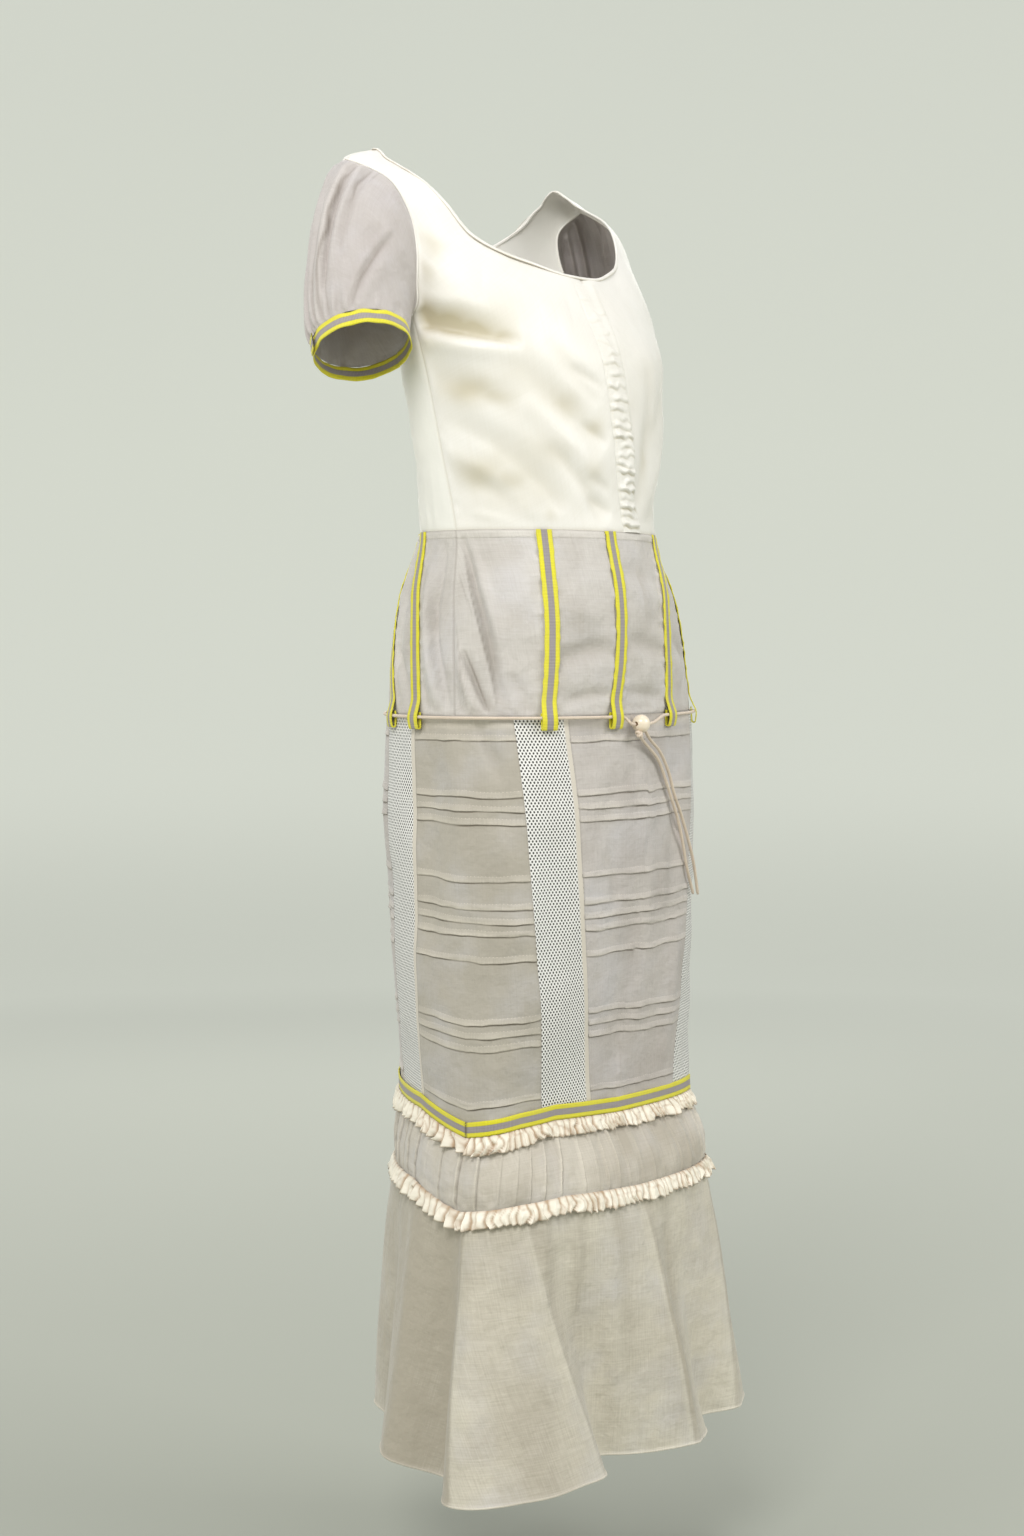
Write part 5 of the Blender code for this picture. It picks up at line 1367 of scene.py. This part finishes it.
def ruffle(name, topDrop, seed, shape):
    around = np.linspace(-2, 2, shape["columns"])[None, :]
    share = np.linspace(0, 1, shape["rows"])[:, None]
    x = around * quarterLength
    ends = limit((2 - np.abs(around)) / 0.05)
    wander = unevenness(x, 0, (0.034, 4.2, seed), (0.014, 2.3, seed + 1))
    twist = softNoise(x, share * 0.03, 0.016, seed + 6) * 2.6
    phase = 2 * np.pi * shape["waves"] * around / 4 + (wander + twist) * ends
    size = 1 + 0.75 * softNoise(x, 5, 0.012, seed + 2) * ends
    shear = x + (share - 0.5) * 0.004 * softNoise(x, 21, 0.012, seed + 7)
    full = np.abs(np.cos(phase / 2)) ** 0.75  # broad rounded flutes, narrow valleys between
    opened = 0.25 + 0.75 * share ** 0.8
    crush = softNoise(shear, share * 0.016, 0.0042, seed + 3) * 0.0011
    out = (lowerShape["lying"] + 0.0008 + shape["stand"] * np.sin(share * np.pi * 0.62) ** 0.8
           + full * shape["swing"] * size * opened + crush * np.sin(share * np.pi * 0.85 + 0.3))
    slide = -np.sin(phase + 0.5) * shape["sideways"] * size * opened
    height = shape["height"] * (1 + 0.17 * softNoise(x, 9, 0.011, seed + 4) * ends + 0.09 * full)
    z = hemDrop(around) - topDrop - height * share
    turned = around + slide / (quarterLength * 1.18)
    points, under = offForm(z, turned, out), offForm(z + 0.0004, turned, out - 0.0009)
    for face in (points, under):
        face[:, -1] = face[:, 0]
    rowUv = clothLengths(points)
    # painted shade: darker in the narrow valleys between flutes and just under the tape, with thin random
    # dark lines and a darker lower edge row
    deep = 0.85 * bell(np.cos(phase / 2) / 0.24) * limit(size, 0.5, 1.2)
    deep = deep + 0.45 * bell(softNoise(shear, share * 0.014, 0.0090, seed + 9) / 0.10) * ends
    fold = limit(deep + 0.40 * limit(1 - share * 7), 0, 0.9)
    fold[-1] = np.maximum(fold[-1], 0.50)
    piece = clothGrid(name, np.concatenate([points, under[::-1]]), ruffleSatin, [name],
                      uv=np.concatenate([rowUv, rowUv[::-1]]),
                      marks={"fold": np.concatenate([fold, fold[::-1]])})


tierShape = {"columns": 640, "rows": 26, "tucks": 26, "pleats": 46, "rise": 0.0016, "clear": 0.0002}


def tierHeight(around, share):
    x = np.mod(around + 2, 4) * quarterLength
    wander = unevenness(x, share * 0.05, (0.045, 1.2, 171), (0.017, 0.5, 173))
    soft = (1 + np.cos(2 * np.pi * tierShape["tucks"] * around / 4 + wander)) * tierShape["rise"]
    lean = softNoise(x, 11, 0.035, 175) * 0.22 + 0.10
    shift = softNoise(x, 12, 0.050, 176) * 0.5
    at = np.mod(tierShape["pleats"] * around / 4 + shift + lean * (share - 0.5), 1) - 0.5
    back = limit(1 + at / 0.17) * (at < 0)  # each little pleat rises slowly and drops at once
    strong = (limit(0.76 + 0.70 * softNoise(x, 3, 0.024, 172))
              * (limit((1 - share) / 0.12) * limit(share / 0.04)))
    # line: painted shadow where each pleat drops; the crest value: painted highlight along each pleat's crest
    crisp, line = back ** 0.7 * strong, limit(1 - np.abs(at - 0.030) / 0.050) * strong
    crestHighlight = limit(1 - np.abs(at + 0.035) / 0.060) * strong
    swell = np.sin(np.pi * share) ** 1.2
    small = softNoise(x, share * 0.07, 0.0065, 174) * 0.0011 * (1 - swell * 0.7) * limit(share / 0.05)
    height = (0.0030 + soft * 0.8) * swell + crisp * 0.0021 - line * 0.0006 + small
    # the second value: the pleats' doubled cloth, plus the painted highlight on their crests
    return height, crisp * 0.45 + crestHighlight * 0.65, line


def tierPanel(name, start, shape):
    around, share = spread(start + 2 * np.linspace(0, 1, shape["columns"]), np.linspace(0, 1, shape["rows"]))
    clear, topDrop = shape["clear"], skirtShape["tierTopDrop"]
    z = hemDrop(around) - topDrop - clear - (lowerShape["flounceTopDrop"] - topDrop - 2 * clear) * share
    height, tuck, line = tierHeight(around, share)
    points = offForm(z, around, 0.0009 + height)
    # fold: random darker patches, and painted shade between around -0.3 and 0.8
    piece = clothGrid(name, points, voiles["tierVoile"], [name], marks={
        "doubled": limit(tuck) * 0.8, "edge": limit(line) * 0.58,
        "fold": limit(0.30 * softNoise(clothAcross(around), share * 0.08, 0.030, 177)
                      + 0.60 * limit((around + 0.30) / 0.30) * limit((0.8 - around) / 0.3))})


flounceShape = {
    "columns": 270, "rows": 100, "hemRoll": 0.0011, "creaseStrength": 1.25,
    # how far the large folds stand off at each around, and how far they slant there
    "folds": [
        (-1.8, .026), (-1.55, -.006), (-1.28, .014), (-1.02, -.012), (-.91, .038), (-.74, .052),
        (-.5, .036), (-.33, .012), (-.23, -.016), (-.08, 0), (.12, .022), (.3, .026), (.42, .004),
        (.5, -.006), (.66, .022), (.85, .036), (1.08, .022), (1.32, -.012), (1.58, .024), (1.8, .01),
        (2, -.012)],
    "lean": [
        (-2, 0), (-.95, 0), (-.6, .3), (.45, .3), (1.2, 0), (2, 0)],
    # around and metres below the ruffle; the folds' own edges, then softer ones
    "creases": [
        (-.985, .01, -.86, -.42, 0, .013, .006, .55), (-1.06, 0, -.965, -.42, 0, .014, -.0052),
        (-.7, -.03, -.24, -.33, -.004, .015, .0058, -.55), (-.56, -.04, -.12, -.33, -.004, .015, -.0044),
        (.01, -.02, .23, -.32, .003, .013, .0048, -.5), (.14, -.04, .33, -.32, .003, .012, -.004),
        (-.82, 0, -.7, -.3, .004, .016, -.0026), (-.3, 0, -.19, -.22, .004, .012, .0024),
        (-1.25, 0, -1.22, -.36, .004, .016, .0044, .3), (-.45, 0, -.42, -.11, .002, .008, .0022),
        (-.62, 0, -.61, -.09, .002, .007, .002), (-.1, 0, -.06, -.12, .003, .008, .0022),
        (.6, 0, .64, -.33, .004, .015, .0048, -.3), (.98, 0, 1.02, -.36, .004, .015, .0046, .2),
        (1.4, 0, 1.46, -.38, -.004, .016, .0048, .2), (1.74, 0, 1.78, -.38, .004, .016, .0048, -.2),
        (-1.76, 0, -1.8, -.38, .004, .016, .0046, .2), (-1.52, 0, -1.54, -.3, .004, .016, -.0036)],
    # the shadow behind each fold's own edge, then the soft ones beside it
    "shades": [
        (-.985, .01, -.88, -.33, 0, .012, .85, -.85), (-.72, .02, -.27, -.33, -.004, .0085, .34, .85),
        (-.01, .02, .23, -.33, 0, .0095, .5, .85), (-1.06, -.01, -.975, -.33, 0, .014, .4),
        (-.84, 0, -.6, -.33, 0, .034, .34), (-.62, .02, -.56, -.12, 0, .009, .28),
        (-.42, .02, -.4, -.14, 0, .008, .24), (-.2, .02, -.12, -.18, 0, .008, .24),
        (.16, .01, .26, -.2, 0, .01, .35), (-1.26, .01, -1.24, -.33, 0, .01, .45, .5),
        (.61, .01, .65, -.33, 0, .01, .45, .85), (.99, .01, 1.03, -.33, 0, .01, .45, -.85),
        (1.41, .01, 1.47, -.33, 0, .01, .45, -.85), (1.73, .01, 1.77, -.33, 0, .01, .45, .85),
        (-1.77, .01, -1.81, -.33, 0, .01, .45, -.85)],
    # the painted highlight along those edges, given in the doubled mark
    "crests": [
        (-.973, .01, -.868, -.33, 0, .003, .8), (-.738, .02, -.288, -.33, -.004, .0028, .5),
        (-.026, .02, .214, -.33, 0, .0026, .8), (.59, .01, .63, -.33, 0, .0028, .6),
        (1.01, .01, 1.05, -.33, 0, .0028, .6), (1.75, .01, 1.79, -.33, 0, .0028, .6)],
}


def flounceSurface(around, share):
    turned = wrapped(around, 4)
    lean = np.interp(turned, *np.array(flounceShape["lean"]).T)
    fold = smooth(flounceShape["folds"], turned + lean * (1 - np.minimum(share, 1)), period=4)
    x = np.mod(around + 2, 4) * quarterLength
    ends = limit(1 - np.abs(np.abs(turned) - 2) / 0.02)
    small = (softNoise(x, share * 0.10, 0.055, 181) * 0.0028 * share
             + softNoise(x, share * 0.06, 0.020, 182) * 0.0009)
    gather = softNoise(x, share * 0.03, 0.0075, 183) * 0.0012 * np.exp(-share / 0.10)
    small = (small + gather) * limit(share / 0.03) * (1 - ends)
    z = hemDrop(around) - lowerShape["flounceTopDrop"] - lowerShape["flounceDrop"] * share
    sharp = creases(turned, -share * lowerShape["flounceDrop"], flounceShape["creases"])
    sharp = flounceShape["creaseStrength"] * sharp * limit(share / 0.06)
    return z, fold * share ** 1.15 + small + sharp + 0.0009


def flouncePanel(name, start, shape):
    around, share = spread(start + 2 * np.linspace(0, 1, shape["columns"]),
                           np.linspace(0.0006, 1, shape["rows"]))
    z, out = flounceSurface(around, share)
    points = offForm(z, around, out)
    hem, radius = points[-1], shape["hemRoll"]
    down = unit(hem - points[-3])
    normal = unit(np.cross(np.gradient(hem, axis=0), -down))
    turn = np.linspace(-0.5 * np.pi, 1.4 * np.pi, 11)[:, None, None]  # the rolled hem
    roll = hem + normal * radius * np.cos(turn) * 0.8 + down * radius * (1.0 + np.sin(turn))
    turned, below = wrapped(around, 4), -share * lowerShape["flounceDrop"]
    # painted shade: behind the fold edges, in random patches, and on the wearer's right side between around
    # -1.9 and -0.95
    shade = (creases(turned, below, shape["shades"])
             + 0.15 * limit(softNoise(around * quarterLength, below * 0.5, 0.026, 184))
             + 0.55 * limit((-0.95 - turned) / 0.20) * limit((turned + 1.9) / 0.3))
    shade = limit(shade, 0, 0.95)
    shade = np.concatenate([shade, np.repeat(shade[-1:] * 0.5, len(turn), axis=0)])
    crestHighlight = limit(creases(turned, below, shape["crests"]), 0, 0.8)
    doubled = np.concatenate([crestHighlight, np.full((len(turn), shape["columns"]), 0.8)])
    piece = clothGrid(name, np.concatenate([points, roll]), voiles["flounceVoile"], [name],
                      marks={"doubled": doubled, "fold": shade})


hemBand()
ruffle("ruffle_upper", tapeWidth + 0.0006, 191, ruffleShape)
ruffle("ruffle_lower", lowerShape["flounceTopDrop"] - 0.003, 201, ruffleShape)
for sideName, sideStart in (("front", -1), ("back", 1)):
    tierPanel("tier_" + sideName, sideStart, tierShape)
for sideName, sideStart in (("front", -1), ("back", 1)):
    flouncePanel("flounce_" + sideName, sideStart, flounceShape)
addStitches("tape_stitches", tapeStitches, yellowThread)
addStitches("tuck_stitches", tuckStitches, taupeThread, length=0.0021, gap=0.0014)
placketRoutes = []
for column in (2, -3):
    before, line, after = (placketPoints[:, column + k] for k in (-1, 0, 1))
    placketRoutes.append((line, np.cross(np.gradient(line, axis=0), after - before)))
addStitches("placket_stitches", placketRoutes, ivoryThread, length=0.0022)
print("lower skirt made")

# Room: a round pale cove with soft light

roomLook = {"floorZ": -1.42, "radius": 6.0, "curve": 1.6, "height": 4.2, "flat": 2.0, "sides": 96,
            "pale": (0.36, 0.37, 0.315), "shade": (0.35, 0.36, 0.305), "glow": (0.97, 1.0, 0.93, 1),
            "near": 0.2, "far": 4.0, "inward": 0.025, "outward": 0.345, "upward": 0.085, "upwardTop": -0.9}


def roomFinish(look):
    made, tree, uv = newFinish("paleRoom", Roughness=0.9)
    across, deep, high = split(addNode(tree, "ShaderNodeTexCoord", out="Object"))
    away = maths("SQRT", abs(across) ** 2.0 + abs(deep) ** 2.0)
    # the cove glows: painted light, dimmer close round the dress and low down, brighter further out and up
    # the wall
    lit = ramp(away, look["near"], look["far"], look["inward"], look["outward"])
    lit = lit + ramp(high, look["floorZ"], look["upwardTop"], 0.0, look["upward"],
                     interpolation_type="SMOOTHSTEP")
    colour = mixColour(place(tree, driftGroup, {"Scale": 0.6}), look["pale"], look["shade"])
    for key, value in (("Base Color", colour), ("Emission Color", look["glow"]), ("Emission Strength", lit)):
        feed(tree.nodes["Principled BSDF"].inputs[key], value)
    return made


def addRoom(look):
    curve, flat = look["curve"], look["radius"] - look["curve"]
    profile = [(0.0, 0.0), (look["flat"], 0.0), (flat, 0.0)]
    profile += [(flat + curve * math.sin(a), curve - curve * math.cos(a))
                for a in np.linspace(0.1, math.pi / 2, 14)]
    profile.append((look["radius"], look["height"]))
    turn = np.linspace(0, 2 * np.pi, look["sides"] + 1)
    points = np.array([[(r * math.cos(t), r * math.sin(t), look["floorZ"] + h) for t in turn]
                       for r, h in profile])
    mesh = meshFrom("room", points.reshape(-1, 3), gridFaces(len(profile), len(turn), True),
                    clothLengths(points).reshape(-1, 2))
    room = bpy.data.objects.new("room", mesh)
    mesh.materials.append(roomFinish(look))
    bpy.context.scene.collection.objects.link(room)


skyLook = {"Color": (0.92, 0.95, 1.0, 1), "Strength": 0.36}
lamps = [  # name, place, aim, size, power
    ("key", (-2.5, -1.3, 1.6), (0, -0.1, -0.60), 1.2, 64.0),
    ("front", (0.9, -2.9, 1.0), (0, -0.1, -0.60), 1.5, 44.0),
    ("side", (-2.6, 1.0, 0.55), (0, -0.05, -0.28), 1.5, 19.0),
    ("top", (0.1, 0.2, 2.2), (0, -0.1, -0.6), 1.8, 20.0),
    ("behind", (1.9, 1.9, 0.6), (0, -0.1, -0.6), 2.2, 22.0),
]


def addLamps(rows, sky):
    for name, spot, aim, size, power in rows:
        light = bpy.data.lights.new(name, "AREA")
        light.shape = "SQUARE"
        light.size = size
        light.energy = power
        lamp = bpy.data.objects.new(name, light)
        lamp.location = spot
        lamp.rotation_euler = (Vector(aim) - Vector(spot)).to_track_quat("-Z", "Y").to_euler()
        bpy.context.scene.collection.objects.link(lamp)
    world = bpy.data.worlds.new("softRoom")
    world.use_nodes = True
    for key, value in sky.items():
        feed(world.node_tree.nodes["Background"].inputs[key], value)
    bpy.context.scene.world = world


addRoom(roomLook)
addLamps(lamps, skyLook)
bpy.context.scene.view_settings.view_transform = "Standard"  # cloth colours come out as they are
print("room and light made")
